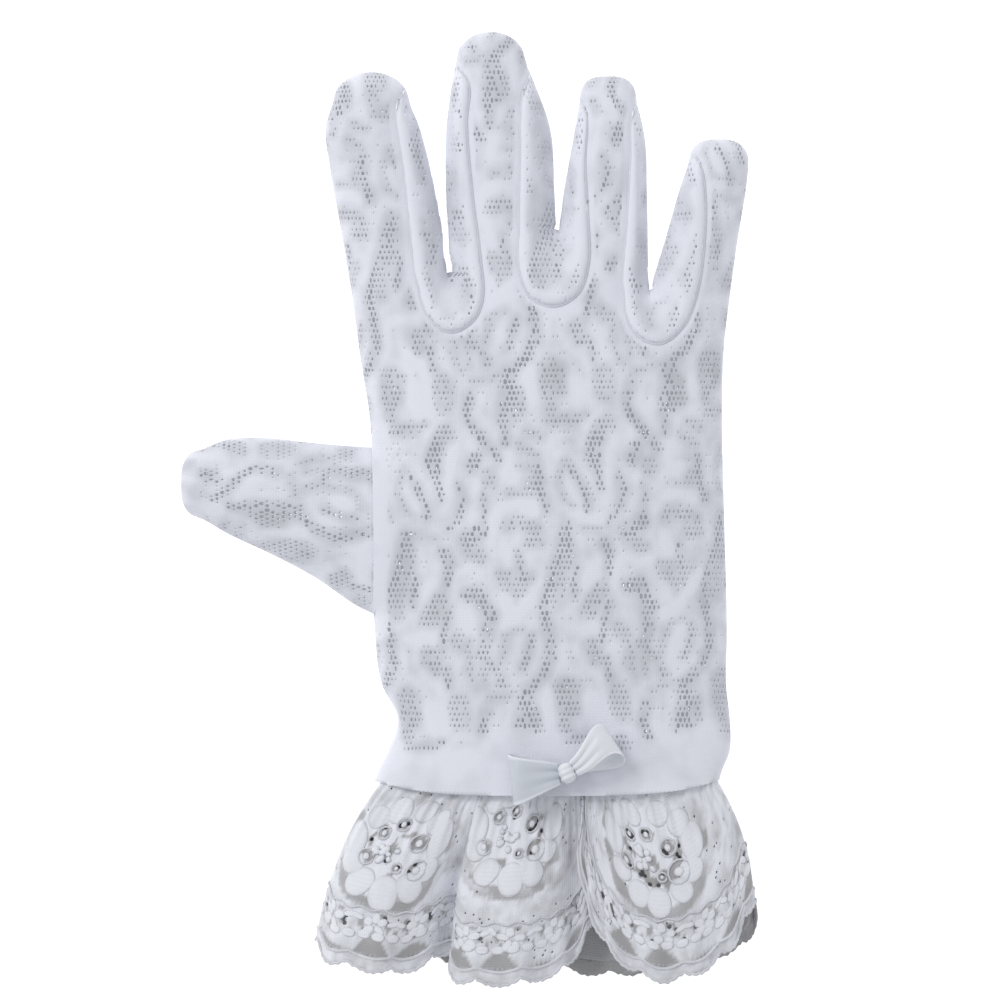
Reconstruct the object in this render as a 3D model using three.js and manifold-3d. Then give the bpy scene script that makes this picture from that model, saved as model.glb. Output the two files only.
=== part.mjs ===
// A white lace dress glove with a gathered lace cuff and a ribbon bow, lying palm down.
// Millimetres, +Z up: the fingers point along +Y, the thumb along -X, and the cloth lies on z = 0.
import * as THREE from "three";
import { mergeVertices } from "three/addons/utils/BufferGeometryUtils.js";
import Module from "manifold-3d";

const wasm = await Module();
wasm.setup();

// Driving dimensions of the cloth
const wall = 1.2;           // thickness of the lace walls
const gap = 0.3;            // clearance that sewn pieces keep
const seamHeight = 3.6;     // height of the side seam above the surface
const roundness = 2.6;      // 2 is an ellipse, more is a fuller side
const underFlat = 1.35;     // more than 1 leaves a flat stretch underneath
const fingerSides = 16;     // facets round a finger
const handSides = 26;       // facets round the hand
const capSteps = 3;         // facets from the last row of a finger to its tip
const sameVertex = 1e-4;    // corners closer than this are one
const tall = 40;            // height of cutting shapes, more than the glove is thick
const broad = 300;          // width of cutting slabs, more than the glove is long

// Hand from the finger roots to the hem: a row for each change of outline.
const handRows = [
  { y: 65.4, left: -5, right: 42.8, high: 9.8 },
  { y: 55, left: -5, right: 43.6, high: 10.5 },
  { y: 50.5, left: -28.2, right: 62.8, high: 10.9 },
  { y: 37, left: -26.4, right: 61.2, high: 12 },
  { y: 20, left: -23.8, right: 60.8, high: 12.8 },
  { y: -5, left: -22.9, right: 61.4, high: 13 },
  { y: -30, left: -22.7, right: 62, high: 12.5 },
  { y: -43, left: -21, right: 61.8, high: 11.8 },
  { y: -51.5, left: -17, right: 62.7, high: 11.2 },
  { y: -59, left: -19.4, right: 62.7, high: 11.3 },
  { y: -66, left: -22.4, right: 60.2, high: 11.6 },
];
const hemSag = 3.2;         // the hem's middle hangs this far below its ends
const hemSagStart = -50;    // the sag grows from this y to the hem

// Fingers from inside the hand to the start of the rounded tip. Tip is its end, and square
// is the power that shapes it: 1 is round, less is squarer.
const fingers = {
  index: {
    tip: 104.1, square: 1, rows: [
      { y: 32, left: -25.2, right: -1, high: 9 },
      { y: 51, left: -28.2, right: -4.8, high: 9.4 },
      { y: 66, left: -30.8, right: -6.4, high: 9.3 },
      { y: 80, left: -33.3, right: -9.1, high: 9 },
      { y: 91, left: -34.5, right: -12, high: 8.8 },
      { y: 97, left: -32.6, right: -14.4, high: 8.4 },
    ],
  },
  middle: {
    tip: 113.8, square: 1, rows: [
      { y: 42, left: -3, right: 19.6, high: 9.4 },
      { y: 60, left: -5.1, right: 20.6, high: 9.5 },
      { y: 76, left: -5.6, right: 20.5, high: 9.4 },
      { y: 90, left: -5.5, right: 19.6, high: 9.1 },
      { y: 101, left: -4.2, right: 15.9, high: 8.8 },
      { y: 107, left: -3, right: 13.4, high: 8.4 },
    ],
  },
  ring: {
    tip: 103.1, square: 0.6, rows: [
      { y: 42, left: 22.4, right: 43, high: 9.2 },
      { y: 60, left: 21.4, right: 43.2, high: 9.4 },
      { y: 74, left: 22.6, right: 42.8, high: 9.1 },
      { y: 88, left: 25, right: 42.3, high: 8.8 },
      { y: 97.6, left: 26.6, right: 40.2, high: 8.2 },
    ],
  },
  little: {
    tip: 88, square: 0.72, rows: [
      { y: 32, left: 42.5, right: 60.9, high: 8.6 },
      { y: 51, left: 44.2, right: 62.8, high: 8.9 },
      { y: 64, left: 47.2, right: 64.6, high: 8.7 },
      { y: 76, left: 50.6, right: 66.6, high: 8.4 },
      { y: 82.6, left: 52.8, right: 67.2, high: 7.9 },
    ],
  },
};

// Thumb from inside the hand to the start of its blunt tip, measured along x.
const thumb = {
  tip: -69.3, square: 0.7, rows: [
    { x: -19, near: -27.6, far: 13.6, high: 9.6 },
    { x: -27, near: -24.2, far: 14.1, high: 9.5 },
    { x: -37, near: -17.4, far: 14.9, high: 9.2 },
    { x: -48, near: -11.6, far: 16.1, high: 8.9 },
    { x: -58, near: -6.9, far: 15.8, high: 8.4 },
    { x: -65, near: -2.9, far: 13.1, high: 7.8 },
  ],
};

// Seam of each strip between two fingers, seen from above: up one finger's side, from its
// tip round the rounded root and to the tip of the other. Over is where it leaves the cloth.
const fourchettes = {
  fourchette_index_middle: {
    over: 112,
    seam: [[-14, 101], [-17.2, 96], [-15.7, 81], [-14.2, 67], [-12.6, 54], [-9.2, 44.6], [-4.2, 41.4],
      [1.2, 44.4], [3.3, 50], [2.6, 60], [0.6, 76], [-0.6, 92], [-0.2, 101], [-6, 108]],
  },
  fourchette_middle_ring: {
    over: 112,
    seam: [[16, 106], [12.9, 98], [12.4, 84], [12, 66], [12.2, 56], [14.6, 50], [20.4, 47.6],
      [26, 50.6], [28.6, 58], [28.4, 70], [27.8, 82], [28, 94], [25, 100]],
  },
  fourchette_ring_little: {
    over: 104,
    seam: [[42.4, 99], [39.4, 94], [38.8, 82], [38, 68], [37, 52], [39.2, 42], [45.4, 38.6],
      [51.4, 43], [54.8, 52], [56.4, 64], [56.6, 74], [55.6, 81], [52, 87]],
  },
};
const seamSteps = 26;        // facets along a seam

// Lace cuff: one strip, sewn round inside the hem from the bow to the bow again. A row for
// each crest, flank and valley. hemX is where it is sewn, edgeX, edgeY and edgeZ where its
// border lies, and belly lifts the cloth between them.
const cuffThickness = 1;
const cuffTuck = 2;         // how far the strip reaches up inside the hem
const cuffPast = 0.8;       // how far it runs on past the hem before it turns
const cuffRing = { left: -18.3, right: 57.8, high: 9.3, low: 2.2 };    // where it is sewn
const cuffRows = [
  { layer: "front", hemX: 26.6, edgeX: 26.4, edgeY: -77.5, edgeZ: 11.6, belly: 1.2 },
  { layer: "front", hemX: 28.4, edgeX: 27.4, edgeY: -90, edgeZ: 12.6, belly: 2.4 },
  { layer: "front", hemX: 31, edgeX: 31.4, edgeY: -102, edgeZ: 14, belly: 3 },
  { layer: "front", hemX: 35, edgeX: 38, edgeY: -109.6, edgeZ: 15.4, belly: 3 },
  { layer: "front", hemX: 41, edgeX: 46, edgeY: -112.8, edgeZ: 15.6, belly: 2.6 },
  { layer: "front", hemX: 47.5, edgeX: 55, edgeY: -111, edgeZ: 13.6, belly: 2.2 },
  { layer: "front", hemX: 53, edgeX: 63, edgeY: -104.6, edgeZ: 10.4, belly: 1.6 },
  { layer: "front", hemX: 56.6, edgeX: 68.2, edgeY: -94, edgeZ: 6.8, belly: 1 },
  { layer: "back", hemX: 56.4, edgeX: 68.8, edgeY: -97, edgeZ: 2.2, belly: 0 },
  { layer: "back", hemX: 51, edgeX: 66.4, edgeY: -105, edgeZ: 0.8, belly: -0.6 },
  { layer: "back", hemX: 42, edgeX: 53, edgeY: -108.8, edgeZ: 2.4, belly: -0.2 },
  { layer: "back", hemX: 31, edgeX: 35, edgeY: -112.4, edgeZ: 0.6, belly: -0.6 },
  { layer: "back", hemX: 20, edgeX: 18, edgeY: -110.4, edgeZ: 2.4, belly: -0.2 },
  { layer: "back", hemX: 8, edgeX: 3, edgeY: -111, edgeZ: 0.6, belly: -0.6 },
  { layer: "back", hemX: -3, edgeX: -12, edgeY: -107.6, edgeZ: 2.4, belly: -0.2 },
  { layer: "back", hemX: -13, edgeX: -26, edgeY: -107.4, edgeZ: 0.6, belly: -0.6 },
  { layer: "back", hemX: -17.6, edgeX: -35.6, edgeY: -103.6, edgeZ: 2, belly: 0 },
  { layer: "front", hemX: -17.9, edgeX: -37.2, edgeY: -104.6, edgeZ: 6, belly: 1 },
  { layer: "front", hemX: -15.6, edgeX: -33.6, edgeY: -108.2, edgeZ: 10.6, belly: 2.2 },
  { layer: "front", hemX: -10, edgeX: -25, edgeY: -110.2, edgeZ: 14, belly: 2.6 },
  { layer: "front", hemX: -4, edgeX: -17, edgeY: -111.4, edgeZ: 13.4, belly: 2.2 },
  { layer: "front", hemX: 0.6, edgeX: -8.6, edgeY: -108.4, edgeZ: 9.4, belly: 0 },
  { layer: "front", hemX: 4, edgeX: -4, edgeY: -109.4, edgeZ: 8.6, belly: -0.4 },
  { layer: "front", hemX: 7.4, edgeX: -0.6, edgeY: -112.8, edgeZ: 12, belly: 1.8 },
  { layer: "front", hemX: 12, edgeX: 6.4, edgeY: -113.8, edgeZ: 14.6, belly: 2.6 },
  { layer: "front", hemX: 17, edgeX: 14.6, edgeY: -113.2, edgeZ: 13.6, belly: 2 },
  { layer: "front", hemX: 21, edgeX: 22.4, edgeY: -111.6, edgeZ: 10.4, belly: 0.2 },
  { layer: "front", hemX: 24.2, edgeX: 30, edgeY: -107.6, edgeZ: 8.2, belly: -1.4 },
];
const cuffFlare = { leaving: 0.42, middle: 0.82 };    // share of the spread reached on the way down
const cuffStepsAlong = 64;
const cuffStepsDown = 5;

// Bow of satin ribbon: each loop starts beside the knot, points along heading (degrees from
// +X) and is a band bent back on itself.
const ribbon = 1;           // thickness of the ribbon
const knot = { x: 23.4, y: -64, long: 4.6, wide: 7.4, high: 5.2, turn: 24 };
const bowSeat = 11.9;       // underside of the bow above the surface
const bowLoops = {
  bow_loop_left: { heading: 189, reach: 12.6, neck: 5.4, width: 11, high: 5, tilt: 0 },
  bow_loop_right: { heading: 39, reach: 12.6, neck: 5.4, width: 11, high: 5.6, tilt: 0 },
};
const loopStart = 1.1;      // from the knot's side to the start of a loop
const loopSteps = 8;        // facets round the outer end of a loop

const lace = new THREE.MeshStandardMaterial({ color: 0xdde1ea, roughness: 0.9, metalness: 0 });
const satin = new THREE.MeshStandardMaterial({ color: 0xe9ecf2, roughness: 0.4, metalness: 0 });

// Solids and meshes
function toSolid(positions, triangles) {
  const raw = new THREE.BufferGeometry();
  raw.setAttribute("position", new THREE.Float32BufferAttribute(positions, 3));
  raw.setIndex(triangles);
  const merged = mergeVertices(raw, sameVertex);
  return new wasm.Manifold(new wasm.Mesh({
    numProp: 3,
    vertProperties: new Float32Array(merged.attributes.position.array),
    triVerts: new Uint32Array(merged.index.array),
  }));
}

function geometryToSolid(geometry) {
  const bare = geometry.clone();
  bare.deleteAttribute("normal");
  bare.deleteAttribute("uv");
  const merged = mergeVertices(bare, sameVertex);
  return toSolid(merged.attributes.position.array, Array.from(merged.index.array));
}

function toMesh(name, solid, material) {
  const result = solid.getMesh();
  const geometry = new THREE.BufferGeometry();
  geometry.setAttribute("position", new THREE.Float32BufferAttribute(result.vertProperties, 3));
  geometry.setIndex(Array.from(result.triVerts));
  geometry.computeVertexNormals();
  const mesh = new THREE.Mesh(geometry, material);
  mesh.name = name;
  return mesh;
}

// Turns every triangle over if the shape is inside out.
function facingOut(positions, triangles) {
  const a = new THREE.Vector3();
  const b = new THREE.Vector3();
  const c = new THREE.Vector3();
  let volume = 0;
  for (let i = 0; i < triangles.length; i += 3) {
    a.fromArray(positions, 3 * triangles[i]);
    b.fromArray(positions, 3 * triangles[i + 1]);
    c.fromArray(positions, 3 * triangles[i + 2]);
    volume += a.dot(b.cross(c)) / 6;
  }
  return volume < 0 ? triangles.toReversed() : triangles;
}

// A closed solid through rings of equal length, with a fan of facets over each end.
function loft(rings, startPoint, endPoint) {
  const count = rings[0].length;
  const positions = rings.flat().flatMap((p) => [p.x, p.y, p.z]);
  const startIndex = positions.length / 3;
  positions.push(startPoint.x, startPoint.y, startPoint.z, endPoint.x, endPoint.y, endPoint.z);
  const triangles = [];
  for (let k = 0; k < count; k += 1) {
    const next = (k + 1) % count;
    for (let r = 0; r + 1 < rings.length; r += 1) {
      const here = r * count;
      const there = here + count;
      triangles.push(here + k, here + next, there + next);
      triangles.push(here + k, there + next, there + k);
    }
    const last = (rings.length - 1) * count;
    triangles.push(startIndex, next, k);
    triangles.push(startIndex + 1, last + k, last + next);
  }
  return toSolid(positions, facingOut(positions, triangles));
}

function prism(points, low, high) {
  const shape = new THREE.Shape(points);
  const geometry = new THREE.ExtrudeGeometry(shape, { depth: high - low, bevelEnabled: false });
  geometry.translate(0, 0, low);
  return geometryToSolid(geometry);
}

function slab(low, high) {
  const geometry = new THREE.BoxGeometry(broad, broad, high - low);
  geometry.translate(0, 0, (low + high) / 2);
  return geometryToSolid(geometry);
}

// Cross-section of a flattened sleeve: flat underneath, domed on top, widest at the seam.
// grow moves the wall outwards, and inwards when it is negative.
function sectionHeight(turn, high, grow) {
  const rise = Math.abs(Math.sin(turn)) ** (2 / roundness);
  if (Math.sin(turn) >= 0) {
    return seamHeight + (high + grow - seamHeight) * rise;
  }
  return Math.max(-grow, seamHeight - (seamHeight + grow) * underFlat * rise);
}

function sectionAcross(turn) {
  return Math.sign(Math.cos(turn)) * Math.abs(Math.cos(turn)) ** (2 / roundness);
}

function sleeveRing(sides, centre, half, high, grow, place) {
  return Array.from({ length: sides }, (_, k) => {
    const turn = (2 * Math.PI * (k + 0.5)) / sides;
    return place(centre + (half + grow) * sectionAcross(turn), sectionHeight(turn, high, grow));
  });
}

// A finger or the thumb: rows along its length, then a rounded tip.
function sleeve(rows, tip, square, grow) {
  const along = Math.sign(tip - rows[0].at);
  const rings = rows.map((row) =>
    sleeveRing(fingerSides, (row.low + row.up) / 2, (row.up - row.low) / 2, row.high, grow,
      (across, z) => row.place(across, row.at, z)));
  const last = rows[rows.length - 1];
  const centre = (last.low + last.up) / 2;
  const reach = tip + along * grow - last.at;
  for (let step = 1; step < capSteps + 1; step += 1) {
    const angle = (Math.PI / 2) * (step / (capSteps + 0.6));
    const shrink = Math.cos(angle) ** square;
    const half = ((last.up - last.low) / 2 + grow) * shrink - grow;
    const high = seamHeight + (last.high + grow - seamHeight) * shrink - grow;
    rings.push(sleeveRing(fingerSides, centre, half, high, grow,
      (across, z) => last.place(across, last.at + reach * Math.sin(angle), z)));
  }
  const first = rows[0];
  const start = first.place((first.low + first.up) / 2, first.at, seamHeight);
  const end = last.place(centre, tip + along * grow, seamHeight);
  return loft(rings, start, end);
}

function finger({ rows, tip, square }, grow) {
  const place = (across, at, z) => new THREE.Vector3(across, at, z);
  const named = rows.map((r) => ({ at: r.y, low: r.left, up: r.right, high: r.high, place }));
  return sleeve(named, tip, square, grow);
}

function thumbSleeve(grow) {
  const place = (across, at, z) => new THREE.Vector3(at, across, z);
  const named = thumb.rows.map((r) => ({ at: r.x, low: r.near, up: r.far, high: r.high, place }));
  return sleeve(named, thumb.tip, thumb.square, grow);
}

// How far below its row a point of the hem lies, from 0 at the sides to hemSag in the middle.
function sagAt(y, across, row) {
  const middle = (row.left + row.right) / 2;
  const half = (row.right - row.left) / 2;
  const share = THREE.MathUtils.smoothstep(-y, -hemSagStart, -handRows.at(-1).y);
  return hemSag * share * (1 - Math.min(1, Math.abs((across - middle) / half)) ** 2);
}

function hand(grow, extra) {
  const rows = handRows.map((row, k) => {
    const shift = (k === 0 ? 1 : 0) * grow - (k === handRows.length - 1 ? 1 : 0) * extra;
    return { ...row, y: row.y + shift };
  });
  const rings = rows.map((row) =>
    sleeveRing(handSides, (row.left + row.right) / 2, (row.right - row.left) / 2, row.high, grow,
      (across, z) => new THREE.Vector3(across, row.y - sagAt(row.y, across, row), z)));
  const first = rows[0];
  const last = rows[rows.length - 1];
  const lastMiddle = (last.left + last.right) / 2;
  return loft(rings,
    new THREE.Vector3((first.left + first.right) / 2, first.y, seamHeight),
    new THREE.Vector3(lastMiddle, last.y - sagAt(last.y, lastMiddle, last), seamHeight));
}

function wholeHand(grow, extra) {
  const sleeves = Object.values(fingers).map((one) => finger(one, grow));
  return sleeves.reduce((body, one) => body.add(one), hand(grow, extra));
}

// Outline of a fourchette from above, moved outwards by grow.
function fourchetteOutline({ seam, over }, grow) {
  const corners = seam.map(([x, y]) => new THREE.Vector3(x, y, 0));
  const curve = new THREE.CatmullRomCurve3(corners, false, "centripetal");
  const points = curve.getSpacedPoints(seamSteps);
  const moved = points.map((point, k) => {
    const before = points[Math.max(0, k - 1)];
    const after = points[Math.min(seamSteps, k + 1)];
    const direction = after.clone().sub(before).normalize();
    return new THREE.Vector2(point.x + direction.y * grow, point.y - direction.x * grow);
  });
  return [...moved, new THREE.Vector2(moved.at(-1).x, over), new THREE.Vector2(moved[0].x, over)];
}

function gloveMeshes() {
  const outer = wholeHand(0, 0);
  const hollow = wholeHand(-wall, 6);
  const thumbHollow = thumbSleeve(-wall);
  const shell = outer.subtract(hollow);
  const open = shell.subtract(thumbHollow);
  const meshes = [];
  let panels = open;
  for (const [name, one] of Object.entries(fourchettes)) {
    const strip = open.intersect(prism(fourchetteOutline(one, 0), -1, tall));
    meshes.push(toMesh(name, strip, lace));
    panels = panels.subtract(prism(fourchetteOutline(one, gap), -1, tall));
  }
  const back = panels.intersect(slab(seamHeight + gap / 2, tall));
  const palm = panels.intersect(slab(-1, seamHeight - gap / 2));
  meshes.unshift(toMesh("glove_back", back, lace), toMesh("glove_palm", palm, lace));
  const thumbShell = thumbSleeve(0).subtract(thumbHollow).subtract(wholeHand(gap, 0));
  meshes.push(toMesh("thumb", thumbShell, lace));
  return meshes;
}

// Where the cuff strip is sewn: on a ring just inside the hem, over or under the hollow.
function cuffAnchor({ hemX, layer }) {
  const hem = handRows.at(-1);
  const middle = (cuffRing.left + cuffRing.right) / 2;
  const across = (hemX - middle) / (cuffRing.right - middle);
  const rise = (1 - Math.abs(across) ** roundness) ** (1 / roundness);
  const over = seamHeight + (cuffRing.high - seamHeight) * rise;
  const under = Math.max(cuffRing.low, seamHeight - (seamHeight - cuffRing.low) * underFlat * rise);
  const y = hem.y - sagAt(hem.y, hemX, hem) - cuffPast;
  return new THREE.Vector3(hemX, y, layer === "front" ? over : under);
}

function cuffMesh() {
  const exits = cuffRows.map(cuffAnchor);
  const edges = cuffRows.map((row) => new THREE.Vector3(row.edgeX, row.edgeY, row.edgeZ));
  const middles = cuffRows.map((row, k) => {
    const middle = exits[k].clone().lerp(edges[k], 0.6);
    middle.x = THREE.MathUtils.lerp(exits[k].x, edges[k].x, cuffFlare.middle);
    middle.z += row.belly;
    return middle;
  });
  const curves = [exits, middles, edges].map((points) =>
    new THREE.CatmullRomCurve3(points, false, "centripetal"));
  const grid = [];
  for (let i = 0; i <= cuffStepsAlong; i += 1) {
    const [exit, middle, edge] = curves.map((curve) => curve.getPoint(i / cuffStepsAlong));
    const top = exit.clone().setY(exit.y + cuffTuck + cuffPast);
    const leaving = exit.clone().lerp(edge, 0.25).setZ(exit.z);
    leaving.x = THREE.MathUtils.lerp(exit.x, edge.x, cuffFlare.leaving);
    const profile = new THREE.CubicBezierCurve3(exit, leaving, middle, edge);
    grid.push([top, ...profile.getPoints(cuffStepsDown)]);
  }
  return toMesh("cuff_ruffle", thicken(grid, cuffThickness), lace);
}

// A sheet given as a grid of points becomes a closed slab around it.
function thicken(grid, thickness) {
  const rowsCount = grid.length;
  const columns = grid[0].length;
  const clamp = THREE.MathUtils.clamp;
  const clampAt = (i, j) => grid[clamp(i, 0, rowsCount - 1)][clamp(j, 0, columns - 1)];
  const layer = (side) => grid.flatMap((row, i) => row.map((point, j) => {
    const alongRow = clampAt(i + 1, j).clone().sub(clampAt(i - 1, j));
    const acrossRow = clampAt(i, j + 1).clone().sub(clampAt(i, j - 1));
    const normal = alongRow.cross(acrossRow).normalize();
    return point.clone().addScaledVector(normal, (side * thickness) / 2);
  }));
  const points = [...layer(1), ...layer(-1)];
  const positions = points.flatMap((p) => [p.x, p.y, p.z]);
  const under = rowsCount * columns;
  const triangles = [];
  const quad = (a, b, c, d) => triangles.push(a, b, c, a, c, d);
  for (let i = 0; i + 1 < rowsCount; i += 1) {
    for (let j = 0; j + 1 < columns; j += 1) {
      const a = i * columns + j;
      quad(a, a + columns, a + columns + 1, a + 1);
      quad(under + a, under + a + 1, under + a + columns + 1, under + a + columns);
    }
    const first = i * columns;
    const last = first + columns - 1;
    quad(first, under + first, under + first + columns, first + columns);
    quad(last, last + columns, under + last + columns, under + last);
  }
  for (let j = 0; j + 1 < columns; j += 1) {
    const end = (rowsCount - 1) * columns + j;
    quad(j, j + 1, under + j + 1, under + j);
    quad(end, under + end, under + end + 1, end + 1);
  }
  return toSolid(positions, facingOut(positions, triangles));
}

// Side view of a ribbon loop: a flat drop, pointed at the knot and round at its outer end.
function loopRing({ reach, high }, inset) {
  const radius = high / 2 - inset;
  const centre = new THREE.Vector2(reach - high / 2, high / 2);
  const points = [];
  for (let k = 0; k <= loopSteps; k += 1) {
    const angle = -Math.PI / 2 + (Math.PI * k) / loopSteps;
    points.push(new THREE.Vector2(centre.x + radius * Math.cos(angle), centre.y + radius * Math.sin(angle)));
  }
  const start = knot.long / 2 + loopStart + inset;
  const pinch = 0.72 * high / 2 - inset;
  points.push(new THREE.Vector2(start, high / 2 + pinch), new THREE.Vector2(start, high / 2 - pinch));
  return points;
}

// The ribbon widens from its neck at the knot to its full width at the outer end.
function loopSolid(loop, inset, extraWidth) {
  const ring = loopRing(loop, inset);
  const side = (sign) => ring.map((p) => {
    const share = THREE.MathUtils.smoothstep(p.x, knot.long / 2, loop.reach);
    const half = THREE.MathUtils.lerp(loop.neck, loop.width, share) / 2 + extraWidth;
    return new THREE.Vector3(p.x, sign * half, p.y);
  });
  const flat = loop.neck / 2 + extraWidth;
  const centre = (sign) => new THREE.Vector3(loop.reach / 2, sign * flat, loop.high / 2);
  return loft([side(-1), side(1)], centre(-1), centre(1));
}

function bowMeshes() {
  const meshes = Object.entries(bowLoops).map(([name, loop]) => {
    const band = loopSolid(loop, 0, 0).subtract(loopSolid(loop, ribbon, 1));
    const mesh = toMesh(name, band, satin);
    mesh.position.set(knot.x, knot.y, bowSeat);
    mesh.rotation.z = THREE.MathUtils.degToRad(loop.heading);
    return mesh;
  });
  const middle = new THREE.BoxGeometry(knot.long, knot.wide, knot.high);
  const knotMesh = toMesh("bow_knot", geometryToSolid(middle), satin);
  knotMesh.position.set(knot.x, knot.y, bowSeat + knot.high / 2);
  knotMesh.rotation.z = THREE.MathUtils.degToRad(knot.turn);
  return [...meshes, knotMesh];
}

const glove = new THREE.Group();
glove.add(...gloveMeshes(), cuffMesh(), ...bowMeshes());

export default glove;
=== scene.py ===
import math

import bpy
import numpy as np
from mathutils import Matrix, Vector


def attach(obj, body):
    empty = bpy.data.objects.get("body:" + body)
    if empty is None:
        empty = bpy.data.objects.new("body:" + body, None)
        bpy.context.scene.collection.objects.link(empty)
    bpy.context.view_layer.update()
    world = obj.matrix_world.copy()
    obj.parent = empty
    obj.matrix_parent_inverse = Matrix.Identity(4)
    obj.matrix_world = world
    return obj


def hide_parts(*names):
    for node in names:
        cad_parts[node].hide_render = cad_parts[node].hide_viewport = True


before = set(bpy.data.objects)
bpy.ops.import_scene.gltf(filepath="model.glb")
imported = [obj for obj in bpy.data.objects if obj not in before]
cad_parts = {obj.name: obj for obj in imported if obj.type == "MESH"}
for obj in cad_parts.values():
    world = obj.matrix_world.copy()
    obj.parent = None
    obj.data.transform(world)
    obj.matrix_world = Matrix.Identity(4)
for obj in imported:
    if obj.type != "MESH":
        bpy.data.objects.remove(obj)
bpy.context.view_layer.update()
scene = bpy.context.scene

# The glove lies palm down, fingers towards +Y and thumb towards -X. Lengths below are in
# millimetres, and makePiece turns them into metres.
mm = 0.001
random = np.random.default_rng(7)
skyward = np.array([0, 0, 1.0])
threadEnd = 0.02            # radius to which a thread's ends are drawn together
# The inner side's mark brings a lightened colour and a glow: painted light for light through the cloth.
innerMark = 3               # density that marks the cloth's inner side
outlineStep = 1.2           # between the points of an outline
seamStep = 0.9              # and of a seam


# Numbers, lines and nearest points

# An eased step from 0 at low to 1 at high.
def eased(low, high, x):
    t = np.clip((x - low) / (high - low), 0, 1)
    return t * t * (3 - 2 * t)


# The larger of two heights, with the corner between them rounded off.
def softMax(a, b, soft):
    return 0.5 * (a + b + np.sqrt((a - b) ** 2 + soft * soft))


# Lengths of vectors, and the same vectors at length 1.
def lengths(vectors):
    return np.linalg.norm(vectors, axis=-1)


def unit(vectors):
    return vectors / np.maximum(lengths(vectors), 1e-9)[..., None]


# How far along a line of points each of them lies.
def runAlong(line):
    return np.concatenate([[0], np.cumsum(lengths(np.diff(line, axis=0)))])


# Columns or grids, stretched to one shape, as rows.
def rowsOf(*columns):
    return np.stack(np.broadcast_arrays(*columns), axis=-1).reshape(-1, len(columns))


# Centripetal Catmull-Rom curve through points, at places counted in points from the first.
def curveThrough(points, places, closed=False):
    p = np.asarray(points, float)
    count = len(p)
    if closed:
        p = np.concatenate([p[-1:], p, p[:2]])
    else:
        p = np.concatenate([2 * p[:1] - p[1:2], p, 2 * p[-1:] - p[-2:-1]])
    i = np.clip(np.floor(places).astype(int), 0, count - (1 if closed else 2))
    a, b, c, d = (p[i + k] for k in range(4))
    t1, t2, t3 = np.cumsum([lengths(q - r) ** 0.5 + 1e-6 for q, r in ((b, a), (c, b), (d, c))],
                           axis=0)[:, :, None]
    t = t1 + (places - i)[:, None] * (t2 - t1)
    mix = lambda p, q, start, end: (end - t) / (end - start) * p + (t - start) / (end - start) * q
    ab, bc, cd = mix(a, b, 0, t1), mix(b, c, t1, t2), mix(c, d, t2, t3)
    return mix(mix(ab, bc, 0, t2), mix(bc, cd, t1, t3), t1, t2)


# The same line with points a step apart.
def evenly(line, step, closed=False):
    ends = np.concatenate([line, line[:1]]) if closed else line
    run = runAlong(ends)
    places = np.linspace(0, run[-1], max(4, round(run[-1] / step)), endpoint=not closed)
    return np.stack([np.interp(places, run, column) for column in ends.T], axis=1)


# Smooth line through points, with points a step apart.
def smoothLine(points, step, closed=False):
    count = len(points) if closed else len(points) - 1
    return evenly(curveThrough(points, np.linspace(0, count - 1e-6, 24 * count), closed), step, closed)


# For each point p: how deep it lies inside a closed line (negative outside), the way
# inwards, and the number of the nearest segment. Points go in lots, to save memory.
def depthIn(line, p):
    a = line
    ab = np.roll(line, -1, axis=0) - a
    depth, way, nearest = [], [], []
    for some in np.array_split(p, len(p) // 1500 + 1):
        ax = some[:, None, 0] - a[None, :, 0]
        ay = some[:, None, 1] - a[None, :, 1]
        t = np.clip((ax * ab[:, 0] + ay * ab[:, 1]) / (ab ** 2).sum(1), 0, 1)
        offX, offY = ax - t * ab[:, 0], ay - t * ab[:, 1]
        square = offX ** 2 + offY ** 2
        k = square.argmin(1)
        row = np.arange(len(some))
        gap = np.stack([offX[row, k], offY[row, k]], axis=1)
        crossing = (ay >= 0) != (ay - ab[:, 1] >= 0)
        slope = np.where(ab[:, 1] == 0, 1, ab[:, 1])
        inside = (crossing & (ax < ab[:, 0] * ay / slope)).sum(1) % 2 == 1
        far = np.sqrt(square[row, k])
        sign = np.where(inside, 1, -1)
        depth.append(sign * far)
        way.append(sign[:, None] * gap / np.maximum(far, 1e-6)[:, None])
        nearest.append(k)
    return np.concatenate(depth), np.concatenate(way), np.concatenate(nearest)


# Value of a grid between its points. The grid starts at low and has one point each step.
def between(grid, low, step, p, wrap=False):
    place = (p - low) / step
    size = np.array(grid.shape[:2])
    if not wrap:
        place = np.clip(place, 0, size - 1.001)
    i = np.floor(place).astype(int)
    (row, column), (nextRow, nextColumn) = (i % size).T, ((i + 1) % size).T
    fx, fy = (place - i).T
    if grid.ndim == 3:
        fx, fy = fx[:, None], fy[:, None]
    near = grid[row, column] * (1 - fy) + grid[row, nextColumn] * fy
    far = grid[nextRow, column] * (1 - fy) + grid[nextRow, nextColumn] * fy
    return near * (1 - fx) + far * fx


# Soft random blotches about size across: random numbers on a grid, and smooth between them.
def blotches(p, size, seed):
    grid = np.random.default_rng(seed).random((97, 61))
    return between(grid, 0, 1, p / size, wrap=True)


# Meshes

# Twice each face's area, as a vector square to it.
def faceVectors(points, quads):
    corner = points[quads]
    return np.cross(corner[:, 2] - corner[:, 0], corner[:, 3] - corner[:, 1])


# Each point's normal, from the faces round it.
def normalsOf(points, quads):
    faces = np.repeat(faceVectors(points, quads), 4, axis=0)
    return unit(np.stack([np.bincount(quads.ravel(), column, len(points)) for column in faces.T], axis=1))


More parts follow.
